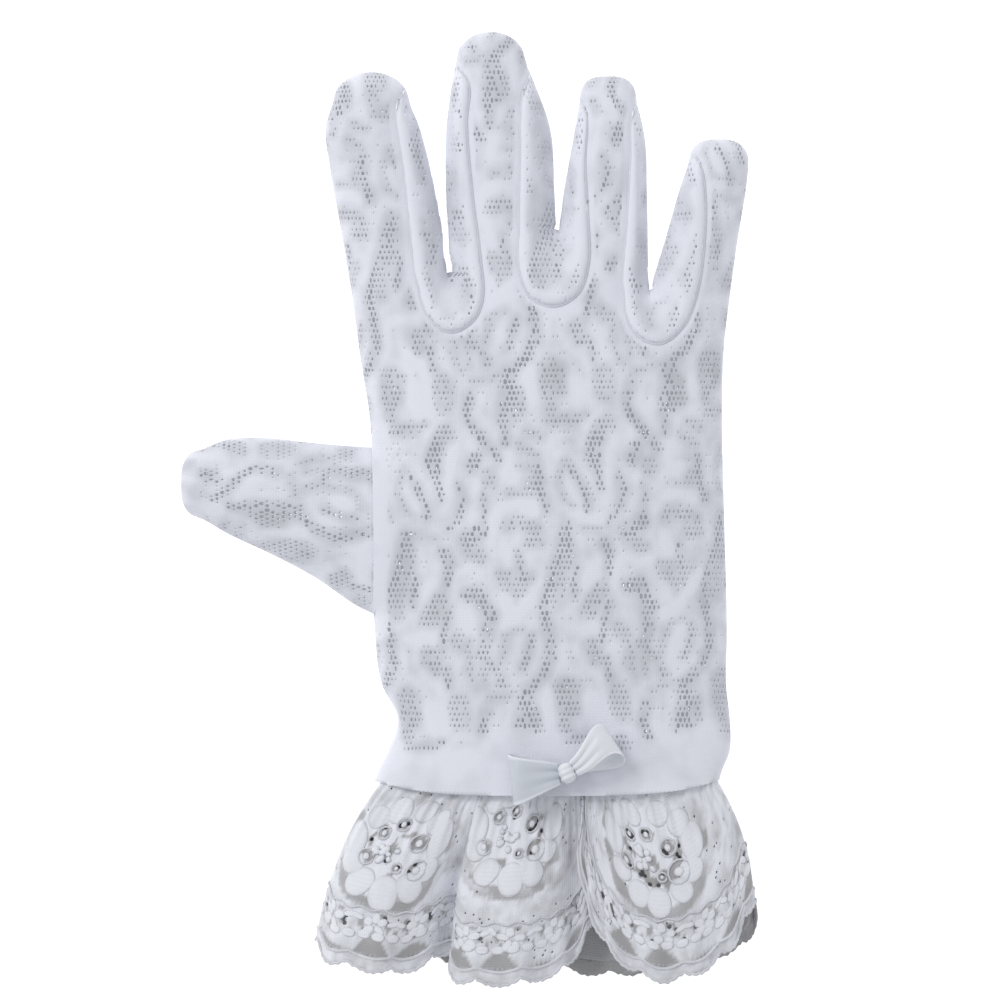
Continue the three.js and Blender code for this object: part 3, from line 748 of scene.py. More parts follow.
# Cuff: one strip of edging lace, gathered round inside the hem from the bow to the bow
# again. Rows are (over 1 to under 0, x at the hem, edge x, y, z, belly).
cuff = {
    "thick": 0.4, "pitch": 1.05, "rowPitch": 0.92, "slant": 0.15, "tuck": 2.8, "past": 0.8,
    "ring": {"left": -21.4, "right": 60.4, "high": 8.7, "low": 2.2, "corner": 2.6, "sag": 1.35},
    "leaving": 0.5, "middle": 0.88, "short": 0.9,
    "rows": [
        (1, 27.4, 26.6, -77.5, 11.6, 1.2), (1, 28.8, 27.4, -90, 12.6, 2.4),
        (1, 31, 31.4, -102, 14, 3), (1, 35, 38, -109.6, 15.4, 3), (1, 41, 46, -112.8, 15.6, 2.6),
        (1, 48, 55, -111, 13.6, 2.2), (1, 55, 63, -104.6, 10.4, 1.6), (1, 59.4, 68.2, -94, 6.8, 1),
        (0, 59.4, 68.8, -97, 2.2, 0), (0, 54, 66.4, -105, 0.8, -0.6), (0, 43, 53, -108.8, 2.4, -0.2),
        (0, 31, 35, -112.4, 0.6, -0.6), (0, 20, 18, -110.4, 2.4, -0.2), (0, 8, 3, -111, 0.6, -0.6),
        (0, -4, -12, -107.6, 2.4, -0.2), (0, -15, -26, -107.4, 0.6, -0.6),
        (0, -20.4, -34.8, -103.6, 2, 0),
        (1, -20.8, -36.2, -104.6, 6, 1), (1, -17.6, -33.6, -108.2, 10.6, 2.2),
        (1, -11, -25, -110.2, 14, 2.6), (1, -5, -17, -111.2, 13.4, 2.2),
        (1, -0.6, -9, -108.6, 9, -0.6), (0.95, 1.6, -4, -106.6, 5.4, -2.2),
        (0.92, 2.6, -2.8, -107.6, 5.6, -1.8), (0.97, 2.8, -4.6, -111.2, 9.4, 0.6),
        (1, 5.4, -2.6, -113.2, 12.6, 1.8),
        (1, 12, 6.4, -113.8, 14.6, 2.6), (1, 17, 14.6, -113.2, 13.6, 2),
        (1, 21.6, 21.4, -111, 10.4, 0.2), (0.9, 25, 25.6, -107.4, 8.4, -1),
        (0.84, 29, 29.6, -99, 8, -1.4)],
}


perMm = 2                       # rows of the strip's grid in a millimetre


# The strip as a grid: first direction along it, second up from its edge. Each row of the
# table is a curve from the hem's ring, level at first, over a middle that bellies out, to
# the edge.
def cuffGrid():
    over, hemX, edgeX, edgeY, edgeZ, belly = np.array(cuff["rows"]).T
    ring = cuff["ring"]
    middleX = (ring["left"] + ring["right"]) / 2
    across = np.clip(np.abs(hemX - middleX) / (ring["right"] - middleX), 0, 1)
    rise = (1 - across ** ring["corner"]) ** (1 / ring["corner"])
    above = lie["seam"] + (ring["high"] - lie["seam"]) * rise
    below = np.maximum(ring["low"], lie["seam"] - (lie["seam"] - ring["low"]) * ring["sag"] * rise)
    starts = np.stack([hemX, hemAt(hemX) - cuff["past"] + 0.4, below + (above - below) * over], axis=1)
    edges = np.stack([edgeX, edgeY + cuff["short"], edgeZ], axis=1)
    middles = starts * 0.4 + edges * 0.6
    middles[:, 0] = starts[:, 0] + (edges[:, 0] - starts[:, 0]) * cuff["middle"]
    middles[:, 2] += belly
    places = np.linspace(0, len(starts) - 1 - 1e-6, 700)
    start, middle, edge = (curveThrough(line, places)[:, None] for line in (starts, middles, edges))
    leaving = start * 0.75 + edge * 0.25
    leaving[..., 0] = start[..., 0] + (edge[..., 0] - start[..., 0]) * cuff["leaving"]
    leaving[..., 2] = start[..., 2]
    t = np.linspace(1, 0, 80)[None, :, None]
    down = ((1 - t) ** 3 * start + 3 * (1 - t) ** 2 * t * leaving + 3 * (1 - t) * t * t * middle
            + t ** 3 * edge)
    profile = np.concatenate([down, start + (0, cuff["tuck"], 0)], axis=1)
    run = lengths(np.diff(profile, axis=1)).cumsum(1)
    run = np.concatenate([np.zeros((len(run), 1)), run], axis=1)
    apart = 1000.0 * np.arange(len(run))[:, None]
    wanted = np.minimum(np.arange(0, 56, 1 / perMm)[None], run[:, -1:])
    grid = np.stack([np.interp((wanted + apart).ravel(), (run + apart).ravel(), profile[..., c].ravel())
                     for c in range(3)], axis=1).reshape(*wanted.shape, 3)
    level = np.minimum(20 * perMm, (run[:, -1] * perMm).astype(int))
    return grid, runAlong(grid[np.arange(len(grid)), level]), run[:, -1]


cuffSheet, cuffAlong, cuffDeep = cuffGrid()
print("cuff strip", round(cuffAlong[-1]), "mm along its middle, up to", round(cuffDeep.max()), "deep")


# Smooth outward normals of the strip's grid.
def cuffNormals():
    up = np.gradient(cuffSheet, axis=1)
    up = np.where(lengths(up)[..., None] < 1e-6, np.array([0, 1.0, 0]), up)
    return unit(np.cross(np.gradient(cuffSheet, axis=0), up))


cuffNormal = cuffNormals()


# A place on the strip, a along it and e up from its edge, raised by lift. Past the edge it
# runs straight on. Small pleats deepen towards the hem.
def onCuff(a, e, lift):
    row = np.interp(a, cuffAlong, np.arange(len(cuffAlong)))
    onGrid = lambda grid, up: between(grid, 0, 1, rowsOf(row, up * perMm))
    up = np.maximum(e, 0)
    outward = (onGrid(cuffSheet, 0.0) - onGrid(cuffSheet, 2.0)) / 2
    deep = np.interp(a, cuffAlong, cuffDeep)
    pleat = np.sin(a * 1.15 + 2.4 * np.sin(a * 0.29)) + 0.5 * np.sin(a * 2.3 + 3 * np.sin(a * 0.17))
    pleat *= 0.32 * eased(16, 40, e) * eased(0.2, 3, deep - e)
    flutter = 0.5 * np.sin(a * 0.62 + 0.8) * eased(16, 2, e)
    p = onGrid(cuffSheet, up) + outward * np.maximum(-e, 0)[:, None]
    return p + unit(onGrid(cuffNormal, up)) * (lift + pleat + flutter)[:, None]


# The cuff's flowers, measured from their middles: petals are (degrees round from along the strip,
# reach, half-length outwards, half-width), rings and the heart (along, up, radius).
flowers = {
    "seen": [(-17.4, -83.6, 28), (11.2, -81.5, 34.5), (44.0, -85.0, 28)],     # x, y and how far up
    "unseen": [0.32, 0.45, 0.58], "unseenUp": 28,                # the rest, as shares of the strip
    "dome": 0.13, "ground": 12.4,                                # close-worked as far as ground
    "petals": [(-150, 11.0, 3.4, 2.9), (-120, 10.9, 3.9, 3.1), (-90, 11.0, 4.4, 3.4),
               (-60, 10.8, 4.0, 3.0), (-31, 10.8, 3.4, 2.9), (4, 11.2, 3.5, 5.0), (43, 11.0, 3.2, 3.4),
               (77, 11.2, 3.4, 3.2), (108, 11.0, 3.6, 3.0), (140, 11.2, 3.2, 3.4), (178, 11.4, 3.5, 4.8)],
    "rings": [(4.8, 2.4, 2.1), (6.2, -4.4, 2.6), (-7.2, -2.9, 1.8), (-5.6, 4.4, 1.5), (-1.0, 6.4, 1.7),
              (1.6, -4.6, 1.2)],
    "ringOut": 0.1, "ringThick": 0.27, "ringLift": 0.14,         # the threads round the rings
    "heart": (-2.3, -0.8, 3.0), "beads": 11, "bead": 1.05,
}

# The band above the cuff's scalloped edge: lens-shaped sheer places, one to a scallop, closed and
# dark as painted shade, and a row of sprigs with spots (along, up, half-width, half-height) between them.
border = {"scallop": 9.8, "depth": 1.9, "wide": 2.3, "lens": (0.42, 4.0),
          "lobe": 3.4, "lobeUp": 6.6, "sprig": 10.4, "sprigUp": 9.2, "petal": 1.3, "petalAt": 1.8,
          "spots": [(-3.3, 9.8, 0.7, 1.1), (3.1, 9.4, 0.75, 1.1), (-0.6, 6.6, 1.0, 0.55),
                    (5.1, 7.2, 0.6, 0.9), (1.6, 11.6, 0.9, 0.4), (-2.6, 7.4, 0.5, 0.6)],
          "line": 12.8, "cord": 0.4, "innerThread": 0.27, "lineThread": 0.22}

# The strip's net: how close it is worked and how that varies, broadly, finely and in patches. Sheer net stays
# closed and darkens, as painted shade.
tulle = {"close": 0.84, "broad": 0.7, "fine": 0.45, "patch": 0.5,
         "sheer": (12.6, 16.2), "thinned": 0.85,    # crescent under each flower: from, to and how sheer
         "flower": 1.15,                            # how close the flowers' ground is
         "middle": 8.4, "loose": 0.21,              # how far loose patches reach in it, and their share
         "open": {"ring": 0.17, "loose": 0.27, "spot": 0.11},    # the less, the more is left open
         "pinholes": 0.05}


# Middles of the flowers, (a, e): those seen from above by their nearest place.
def flowerPlaces():
    places = []
    for x, y, up in flowers["seen"]:
        row = cuffSheet[:, int(up * perMm)]
        front = (row[:, 2] > 5) & (cuffDeep > 36)
        far = np.where(front, lengths(row[:, :2] - (x, y)), 1e9)
        places.append((cuffAlong[far.argmin()], up))
    return places + [(share * cuffAlong[-1], flowers["unseenUp"]) for share in flowers["unseen"]]


flowerPlace = flowerPlaces()
print("flowers at", np.round(flowerPlace).tolist())


# Square patch of n x n points drawn out to a round one.
def roundPatch(n):
    u = np.linspace(-1, 1, n)[:, None]
    v = u.T
    return rowsOf(u * np.sqrt(1 - v * v / 2), v * np.sqrt(1 - u * u / 2))


# Domed patches worked on the strip, one for each (a, e, turn, length, width, dome, lift).
def worked(patches, n=6):
    a, e, turn, length, width, dome, lift = (column[:, None] for column in np.array(patches, float).T)
    disc = roundPatch(n)
    out = (disc ** 2).sum(1)[None]
    x, y = disc[:, 0][None] * length, disc[:, 1][None] * width
    alongA = a + x * np.cos(turn) - y * np.sin(turn)
    alongE = e + x * np.sin(turn) + y * np.cos(turn)
    height = lift + dome * np.maximum(1 - out, 0) ** 0.4 * (1 - 0.12 * np.cos(y / width * 7))
    points = onCuff(alongA.ravel(), alongE.ravel(), height.ravel())
    quads = gridQuads(n, n)[None] + (n * n * np.arange(len(patches)))[:, None, None]
    marks = rowsOf(alongA, alongE, 1.4 - 0.4 * out ** 3)
    return thickened(points, quads.reshape(-1, 4), marks, 0.3)


# A thread round each ring.
def ringThreads():
    turn = np.linspace(0, 2 * np.pi, 13)
    up = np.array([0.15, 0, 1.0])       # never along the ring, even where the strip hangs steep
    made = []
    for a, e, radius in rings:
        r = radius + flowers["ringOut"]
        path = onCuff(a + r * np.cos(turn), e + r * np.sin(turn), np.full(13, flowers["ringLift"]))
        path[-1] = path[0]
        made.append(thread(path, up, flowers["ringThick"], 5))
    return made


# The rings of the flowers' open middles: a, e and radius of each. No two are quite alike.
def openRings():
    found = []
    for a, e in flowerPlace:
        for along, up, radius in flowers["rings"]:
            near = random.uniform(0.88, 1.1)
            found.append((a + along * near, e + up * near, radius * random.uniform(0.85, 1.1)))
    return np.array(found)


rings = openRings()


# Whether the strip runs in front at a, by its height 14 mm up from its edge.
def inFront(a):
    return np.interp(a, cuffAlong, cuffSheet[:, 14 * perMm, 2]) > 4.5


# Half-width of the scalloped edge's swing past the strip's straight edge, at a along it.
def scallopAt(a):
    return border["depth"] * np.abs(np.sin(np.pi * a / border["scallop"])) ** 0.8


# A place reach away from (a, e) in the direction turn, and turn itself.
def placeOut(a, e, turn, reach):
    return a + reach * math.cos(turn), e + reach * math.sin(turn), turn


# Petals, hearts and rings of the flowers, for worked().
def flowerWork():
    petals, small = [], []
    for a, e in flowerPlace:
        for angle, reach, long, wide in flowers["petals"]:
            turn = math.radians(angle) + random.uniform(-0.1, 0.1)
            size = random.uniform(0.88, 1.1)
            petals.append((*placeOut(a, e, turn, reach), long * size, wide * size, flowers["dome"], 0.02))
        along, up, reach = flowers["heart"]
        for _ in range(flowers["beads"]):
            turn, far = random.uniform(0, 2 * math.pi), reach * random.uniform(0, 1) ** 0.6
            size = flowers["bead"] * random.uniform(0.7, 1.2)
            small.append((*placeOut(a + along, e + up, turn, far), size, size * 0.8, 0.5, 0.15))
    small += [(a, e, r, 0.5 * r, 0.42 * r, 0.25, 0.1) for a, e, r in rings]
    return petals, small


# Sprigs and lobes of the border, for worked().
def borderWork():
    length, up = cuffAlong[-1], border["sprigUp"]
    small = []
    for a in np.arange(4, length - 3, border["sprig"]):
        for petal in range(5):
            turn = 2 * math.pi * (petal + random.uniform(0.05, 0.45)) / 5
            reach = border["petalAt"] * random.uniform(0.85, 1.15)
            long, wide = border["petal"] * random.uniform((0.85, 0.65), (1.35, 1.0))
            small.append((*placeOut(a, up, turn, reach), long, wide, 0.12, 0.04))
        for side in (-1, 1):
            small.append((a + side * 4.4, up + random.uniform(0.6, 1.9), random.uniform(0.1, 0.9) * side,
                          random.uniform(1.2, 1.9), 0.7, 0.12, 0.03))
    for a in np.arange(2, length - 2, border["lobe"]):
        small.append((a, border["lobeUp"] + random.uniform(-0.4, 0.4), 0, 1.6, 1.1, 0.12, 0.03))
    return small


# How densely work looks at a: full in front, and dulled where the strip runs behind, as painted shade.
def paintedShadeAt(a):
    return np.where(inFront(a), 1, 0.1)


# A thread laid along the strip, dulled as painted shade where the strip runs behind.
def borderThread(a, e, radius):
    points, quads, marks = thread(onCuff(a, e, np.full(len(a), 0.2)), skyward, radius)
    marks[:, 2] = np.repeat(paintedShadeAt(a), 6)
    return points, quads, marks


# Raised work of the cuff: flowers, border and the corded lines.
def cuffWork():
    petals, small = flowerWork()
    parts = [worked(petals, 11), worked(small + borderWork())] + ringThreads()
    a = np.arange(0.3, cuffAlong[-1] - 0.2, 0.6)
    parts.append(borderThread(a, -edgeAt(a), border["cord"]))
    parts.append(borderThread(a, border["wide"] - 0.6 * scallopAt(a), border["innerThread"]))
    parts.append(borderThread(a, border["line"] + 0.4 * np.cos(2 * np.pi * a / 5.2), border["lineThread"]))
    return joined(parts)


# How far the edge's cord swings out past the strip's straight edge, with small picots.
def edgeAt(a):
    uneven = blotches(rowsOf(a, a), 2.1, 7) - 0.5
    return scallopAt(a) + 0.22 * np.sin(2 * np.pi * a / 1.6) + 0.3 * uneven


# The bright band inside the strip's scalloped edge.
def cuffEdge():
    a = np.arange(0.1, cuffAlong[-1], 0.6)
    share = np.linspace(0, 1, 6)
    inner = border["wide"] + 0.5 - 0.6 * scallopAt(a)
    e = -edgeAt(a)[:, None] * (1 - share) + inner[:, None] * share
    place = rowsOf(a[:, None], e)
    lumps = blotches(place, 1.1, 8)
    # Behind, the band is dulled as painted shade.
    marks = np.column_stack([place, (0.75 + 0.7 * lumps) * paintedShadeAt(place[:, 0])])
    return thickened(onCuff(*place.T, 0.02 + 0.3 * lumps), gridQuads(*e.shape), marks, 0.45)


# How close the strip's net is worked, from 0 where it is sheer to 1.3 in the flowers, and
# where it is left open: in parts of the rings, the flowers' middles and the border's spots.
# Sheer places and the rest of the rings, middles and spots stay closed cloth, and their dark
# net colour is painted shade of what lies beneath them.
def netAt(a, e):
    place = rowsOf(a, e)
    broad, fine, patch = (blotches(place, size, size) - 0.5 for size in (4, 1, 2))
    far = np.min([np.hypot(a - middleA, e - middleE) for middleA, middleE in flowerPlace], axis=0)
    low, high = tulle["sheer"]
    inBand = e < border["line"]

    close = tulle["close"] + tulle["broad"] * broad + tulle["fine"] * fine + tulle["patch"] * patch
    crescent = eased(low - 0.4, low + 0.3, far) * eased(high + 3 * broad, high - 0.6 + 3 * broad, far)
    crescent *= np.maximum(eased(24, 18, e), eased(0, 0.15, patch) * eased(38, 32, e)) * ~inBand
    close *= 1 - tulle["thinned"] * crescent
    across = (a / border["scallop"]) % 1 - 0.5
    start = border["wide"] + 0.3 - 0.5 * scallopAt(a)
    tall = border["lens"][1] * (1 - (across / border["lens"][0]) ** 2)
    tall *= 0.75 + 0.6 * np.sin(4.4 * np.floor(a / border["scallop"]))
    top = start + tall
    lens = eased(start - 0.1, start + 0.1, e) * eased(top + 0.4, top - 0.4, e - 0.4 * fine)
    close = np.where(inBand, (1 - lens) * (0.85 + 0.5 * fine + 0.3 * patch), close)
    along = (a - 4 + border["sprig"] / 2) % border["sprig"] - border["sprig"] / 2
    spot = np.min([np.hypot((along - x) / wide, (e - up) / tall) for x, up, wide, tall in border["spots"]],
                  axis=0)
    spot = inBand & (spot < 1.1 + 0.8 * patch)

    close = np.where(far < flowers["ground"], tulle["flower"] + 0.3 * fine, close)
    ring = np.min([np.hypot(a - ringA, e - ringE) / r for ringA, ringE, r in rings], axis=0) < 0.9
    loose = (far < tulle["middle"]) & (patch > tulle["loose"])
    # Rings, spots and loose patches go to 0, the dark net colour, as painted shade where they are not cut
    # open.
    close = np.where(ring | spot | loose, 0, close)
    front = inFront(a)
    least = tulle["open"]
    gone = (ring & (fine > least["ring"])) | (loose & (fine > least["loose"]))
    gone |= spot & (fine > least["spot"])
    # Where the strip runs behind, its net is closed, without holes, and close to 0 all over, so dark: painted
    # shade.
    return np.where(front, close, 0.1 * broad), gone & front


# The strip's net, with pinholes strewn over it.
def cuffNet():
    corners, cells, middles = netOver((0.0, 1.6), (cuffAlong[-1], 50.0), cuff)
    deep = np.interp(middles[:, 0], cuffAlong, cuffDeep)
    inside = (middles[:, 1] < deep + 1) & (middles[:, 0] > 0.4) & (middles[:, 0] < cuffAlong[-1] - 0.4)
    close, gone = netAt(*middles.T)
    inside &= ~gone
    cells, middles, close = cells[inside], middles[inside], close[inside]
    pinholes = (random.random(len(close)) < tulle["pinholes"]) & (close < 1) & (close > 0.3)
    size = np.where(pinholes, 0.5, 0) * random.uniform(0.7, 1.1, len(close))
    flat, quads = laceCells(corners, cells, middles, size, size)
    points = onCuff(*flat.T, np.zeros(len(flat)))
    marks = np.column_stack([flat, netAt(*flat.T)[0]])
    area = lengths(faceVectors(points, quads)) / 2
    return thickened(*onlyUsed(points, quads[area > 0.005], marks), cuff["thick"])


# Bow of satin ribbon: each loop starts beside the knot, points along heading (degrees from
# +X) and is a band bent back on itself, wider at its outer end.
bow = {
    "x": 23.4, "y": -64.0, "seat": 11.9, "thick": 0.32, "start": 1.9,
    "bow_loop_left": {"heading": 187, "reach": 13.2, "neck": 4.8, "width": 12.2, "high": 4.2, "spread": 0.6,
                      "gather": 0.25},
    "bow_loop_right": {"heading": 33, "reach": 13.4, "neck": 3.6, "width": 8.6, "high": 5.0, "spread": 4.6,
                       "gather": 0.3},
    "bow_knot": {"long": 3.8, "wide": 5.0, "high": 4.8, "turn": 24},
}


# A ribbon's points turned round the bow's middle and set on the hem.
def turnedTo(points, degrees, z):
    c, s = math.cos(math.radians(degrees)), math.sin(math.radians(degrees))
    x, y = points[:, 0], points[:, 1]
    return np.column_stack([bow["x"] + x * c - y * s, bow["y"] + x * s + y * c, points[:, 2] + z])


# Side view of the loop: out along the bottom, round the end, back along the top. Gathers
# at the neck fade towards the outer end, and the spread leans the top strand to the left of
# the bottom one.
def ribbonLoop(loop):
    high, reach, start = loop["high"], loop["reach"], bow["start"]
    side = np.array([(start, 0.42 * high), (start + 2.5, 0.16 * high), (reach - 3, 0.02 * high),
                     (reach - 0.9, 0.16 * high), (reach, 0.5 * high), (reach - 0.9, 0.86 * high),
                     (reach - 3, 0.99 * high), (start + 2.5, 0.84 * high), (start, 0.6 * high)])
    step = 0.35
    line = smoothLine(side, step)
    across = np.linspace(-1, 1, 33)
    share = eased(start, reach, line[:, 0])
    straight = (line[:, 0] - start) / (reach - start)
    half = (loop["neck"] + (loop["width"] - loop["neck"]) * straight) / 2
    gather = loop["gather"] * (1 - share)[:, None] * np.sin(across * 8.5 + (line[:, 1] > high / 2)[:, None])
    aside = loop["spread"] * (line[:, 1] / high - 0.5) * share
    woven = eased(0.84, 0.92, np.abs(across))[None]
    edge = 0.10 * eased(0.86, 0.93, np.abs(across))[None]
    crown = 0.5 * share[:, None] * (1 - across[None] ** 2)
    top = np.where(line[:, 1] > high / 2, 1, -1)[:, None]
    across = across[None] * half[:, None]
    points = rowsOf(line[:, :1], across + aside[:, None], line[:, 1:] + gather + top * (edge + crown))
    marks = rowsOf(across, step * np.arange(len(line))[:, None], woven)
    flat = turnedTo(points, loop["heading"], bow["seat"])
    return thickened(flat, gridQuads(*across.shape), marks, bow["thick"])


# The wrap round the middle: a band with a rounded section, drawn in at both ends, with
# gathers running round it.
def ribbonKnot(knot):
    turn = np.linspace(0, 2 * np.pi, 48, endpoint=False)
    across = np.linspace(-1, 1, 25)
    squarish = lambda swing: np.sign(swing) * np.abs(swing) ** 0.7
    narrow = np.maximum(1 - np.abs(across) ** 5, 0) ** 0.5 * (1 - 0.12 * across ** 2)
    narrow[[0, -1]] = 0.01
    gather = 1 + 0.05 * np.sin(across * 11)[:, None]
    x = squarish(np.cos(turn))[None] * knot["long"] / 2 * narrow[:, None] * gather
    z = squarish(np.sin(turn))[None] * knot["high"] / 2 * narrow[:, None] * gather + knot["high"] / 2
    points = rowsOf(x, across[:, None] * knot["wide"] / 2, z)
    marks = rowsOf(across[:, None] * 3.7, turn[None] * 2.4, eased(0.8, 0.88, np.abs(across))[:, None])
    flat = turnedTo(points, knot["turn"], bow["seat"])
    return flat, gridQuads(len(across), len(turn), True)[:, ::-1], marks


# Finishes

# One socket of a material. Arithmetic on it adds Math nodes.
class Wire:
    def __init__(self, tree, socket=None):
        self.tree = tree
        self.socket = socket

    # Adds a node: its settings first, then the values or links of its sockets.
    def node(self, kind, settings=None, inputs=None, output=0):
        made = self.tree.nodes.new("ShaderNode" + kind)
        for name, value in (settings or {}).items():
            setattr(made, name, value)
        for name, value in (inputs or {}).items():
            if isinstance(value, Wire):
                self.tree.links.new(value.socket, made.inputs[name])
            else:
                made.inputs[name].default_value = value
        return Wire(self.tree, made.outputs[output])

    # Links this socket to a shader's.
    def into(self, shader, name):
        self.tree.links.new(self.socket, shader.inputs[name])

    # Another output of the same node.
    def also(self, output):
        return Wire(self.tree, self.socket.node.outputs[output])

    def maths(self, operation, first, second=0.0, clamp=False):
        return self.node("Math", {"operation": operation, "use_clamp": clamp}, {0: first, 1: second})

    def __add__(self, other):
        return self.maths("ADD", self, other)

    __radd__ = __add__

    def __sub__(self, other):
        return self.maths("SUBTRACT", self, other)

    def __rsub__(self, other):
        return self.maths("SUBTRACT", other, self)

    def __mul__(self, other):
        return self.maths("MULTIPLY", self, other)

    __rmul__ = __mul__

    def sine(self):
        return self.maths("SINE", self)

    def clamped(self):
        return self.maths("ADD", self, 0.0, clamp=True)

    def mixed(self, first, second):
        return self.node("Mix", {"data_type": "RGBA"}, {0: self, 6: first, 7: second}, 2)


def newFinish(name, roughness, sheen):
    material = bpy.data.materials.new(name)
    material.use_nodes = True
    shader = material.node_tree.nodes["Principled BSDF"]
    shader.inputs["Roughness"].default_value = roughness
    shader.inputs["Specular IOR Level"].default_value = 0.25
    shader.inputs["Sheen Weight"].default_value = sheen
    shader.inputs["Sheen Roughness"].default_value = 0.5
    return material, shader, Wire(material.node_tree)


# Knitted lace: ribs of loops a pitch apart, close work whiter than net by gain, soft cloudy
# unevenness, and a fine bump from the loops. Marks above 1.6 are the cloth's inner side: its
# colour is lightened and it glows, painted light standing in for the light that comes through.
def laceFinish(name, net, close, inside, gain, least, cloud, mesh, rib, loop, bump, sheen, paintedGlow):
    material, shader, start = newFinish(name, 0.9, sheen)
    place = start.node("Attribute", {"attribute_name": "cloth"}, output=1)
    x = start.node("SeparateXYZ", inputs={0: place})
    y, dense = x.also(1), x.also(2)
    ribs = (x * (2 * math.pi / rib)).sine()
    loops = (y * (2 * math.pi / loop) + ribs * 1.3).sine()
    fuzz = start.node("TexNoise", inputs={"Vector": place, "Scale": 2.6, "Detail": 4.0, "Roughness": 0.65})
    broad = start.node("TexNoise", inputs={"Vector": place, "Scale": 0.11, "Detail": 2.0})
    # Net is greyer than close work: painted shade of the shaded inside seen through sheer cloth.
    whiteness = (dense * gain - least + (broad - 0.5) * cloud + (fuzz - 0.5) * 0.35
                 + ribs * loops * mesh).clamped()
    # Inner side: lightened colour and a bluish glow, painted light.
    inner = (dense - 1.6).clamped()
    inner.mixed(whiteness.mixed(net, close), inside).into(shader, "Base Color")
    inner.mixed((0, 0, 0, 1), (0.86, 0.93, 1, 1)).into(shader, "Emission Color")
    shader.inputs["Emission Strength"].default_value = paintedGlow
    height = ribs * 0.3 + loops * 0.35 + fuzz * 0.6
    bumps = start.node("Bump", inputs={"Strength": bump, "Distance": 0.00025, "Height": height})
    bumps.into(shader, "Normal")
    return material


# Satin ribbon: fine warp lines along it that tilt the light, and duller woven edges. Its face colour is given
# per copy: darkened as painted shade for the left loop, lightened as painted light for the right loop and the
# knot.
def satinFinish(name, face, woven):
    material, shader, start = newFinish(name, 0.35, 0.3)
    shader.inputs["Specular IOR Level"].default_value = 0.6
    place = start.node("Attribute", {"attribute_name": "cloth"}, output=1)
    across = start.node("SeparateXYZ", inputs={0: place})
    warp = (across * (2 * math.pi / 0.22)).sine()
    weft = (across.also(1) * (2 * math.pi / 0.3)).sine()
    fuzz = start.node("TexNoise", inputs={"Vector": place, "Scale": 1.4, "Detail": 3.0})
    edge = across.also(2).clamped()
    (edge + (fuzz - 0.5) * 0.3).clamped().mixed(face, woven).into(shader, "Base Color")
    (0.3 + edge * 0.4 + fuzz * 0.12).into(shader, "Roughness")
    height = warp * 0.25 + weft * edge * 0.8 + fuzz * 0.5
    bumps = start.node("Bump", inputs={"Strength": 0.25, "Distance": 0.00015, "Height": height})
    bumps.into(shader, "Normal")
    return material


# In each lace finish the inside colour is lightened and the inner side glows: painted light standing in for
# the light that comes through the cloth.
finishes = {
    # Each net colour is darker than its close work, as painted shade of what lies behind the sheer cloth; the
    # cuff's are darkest, for its sheer bands and back run.
    "hand": laceFinish(
        "hand lace", net=(0.51, 0.525, 0.575, 1), close=(0.76, 0.782, 0.857, 1),
        inside=(0.82, 0.83, 0.85, 1),
        gain=0.66, least=-0.09, cloud=1.3, mesh=0.05, rib=0.525, loop=0.675, bump=0.2, sheen=0.1,
        paintedGlow=0.085),
    "seam": laceFinish(
        "rolled seam", net=(0.55, 0.565, 0.62, 1), close=(0.74, 0.762, 0.836, 1),
        inside=(0.82, 0.83, 0.85, 1),
        gain=0.6, least=0.0, cloud=0.7, mesh=0.03, rib=0.5, loop=0.7, bump=0.3, sheen=0.1, paintedGlow=0.06),
    "tulle": laceFinish(
        "cuff net", net=(0.34, 0.34, 0.347, 1), close=(0.76, 0.778, 0.84, 1),
        inside=(0.80, 0.805, 0.82, 1),
        gain=0.86, least=-0.06, cloud=0.75, mesh=0.1, rib=0.7, loop=0.61, bump=0.25, sheen=0.1, paintedGlow=0.05),
    "work": laceFinish(
        "cuff raised work", net=(0.36, 0.36, 0.37, 1), close=(0.76, 0.777, 0.835, 1),
        inside=(0.80, 0.805, 0.82, 1),
        gain=0.8, least=0.1, cloud=0.75, mesh=0.05, rib=0.45, loop=1.1, bump=0.35, sheen=0.15, paintedGlow=0.05),
    # The same satin twice: its face darkened as painted shade, and lightened as painted light.
    "satin": satinFinish("satin ribbon", (0.56, 0.60, 0.66, 1), (0.76, 0.79, 0.85, 1)),
    "paintedLitSatin": satinFinish("satin ribbon across the light", (0.74, 0.77, 0.82, 1),
                            (0.84, 0.86, 0.91, 1)),
}

# The pieces

makePiece("back_lace", "hand_lace", "glove_back", (handLayer(True), "hand"))
makePiece("palm_lace", "hand_lace", "glove_palm", (handLayer(False), "hand"))
for node, line in gussetSeams.items():
    makePiece(node + "_lace", "hand_lace", node, (handLayer(True, node), "hand"),
              (handLayer(False, node), "hand"), (seamRoll(line, 0.4), "seam"))
makePiece("thumb_lace", "hand_lace", "thumb", (thumbLayer(True), "hand"), (thumbLayer(False), "hand"))
cuffPiece = makePiece("cuff_net", "cuff_lace", "cuff_ruffle", (cuffNet(), "tulle"), (cuffEdge(), "work"))
cuffRaised = makePiece("cuff_work", "cuff_lace", "cuff_ruffle", (cuffWork(), "work"))
# The left loop takes the satin darkened as painted shade, the right loop and the knot the one lightened as
# painted light.
for node, finish in (("bow_loop_left", "satin"), ("bow_loop_right", "paintedLitSatin")):
    makePiece(node + "_ribbon", "satin_ribbon", node, (ribbonLoop(bow[node]), finish))
makePiece("bow_knot_ribbon", "satin_ribbon", "bow_knot", (ribbonKnot(bow["bow_knot"]), "paintedLitSatin"))
print("pieces made")

# Floor, light and camera

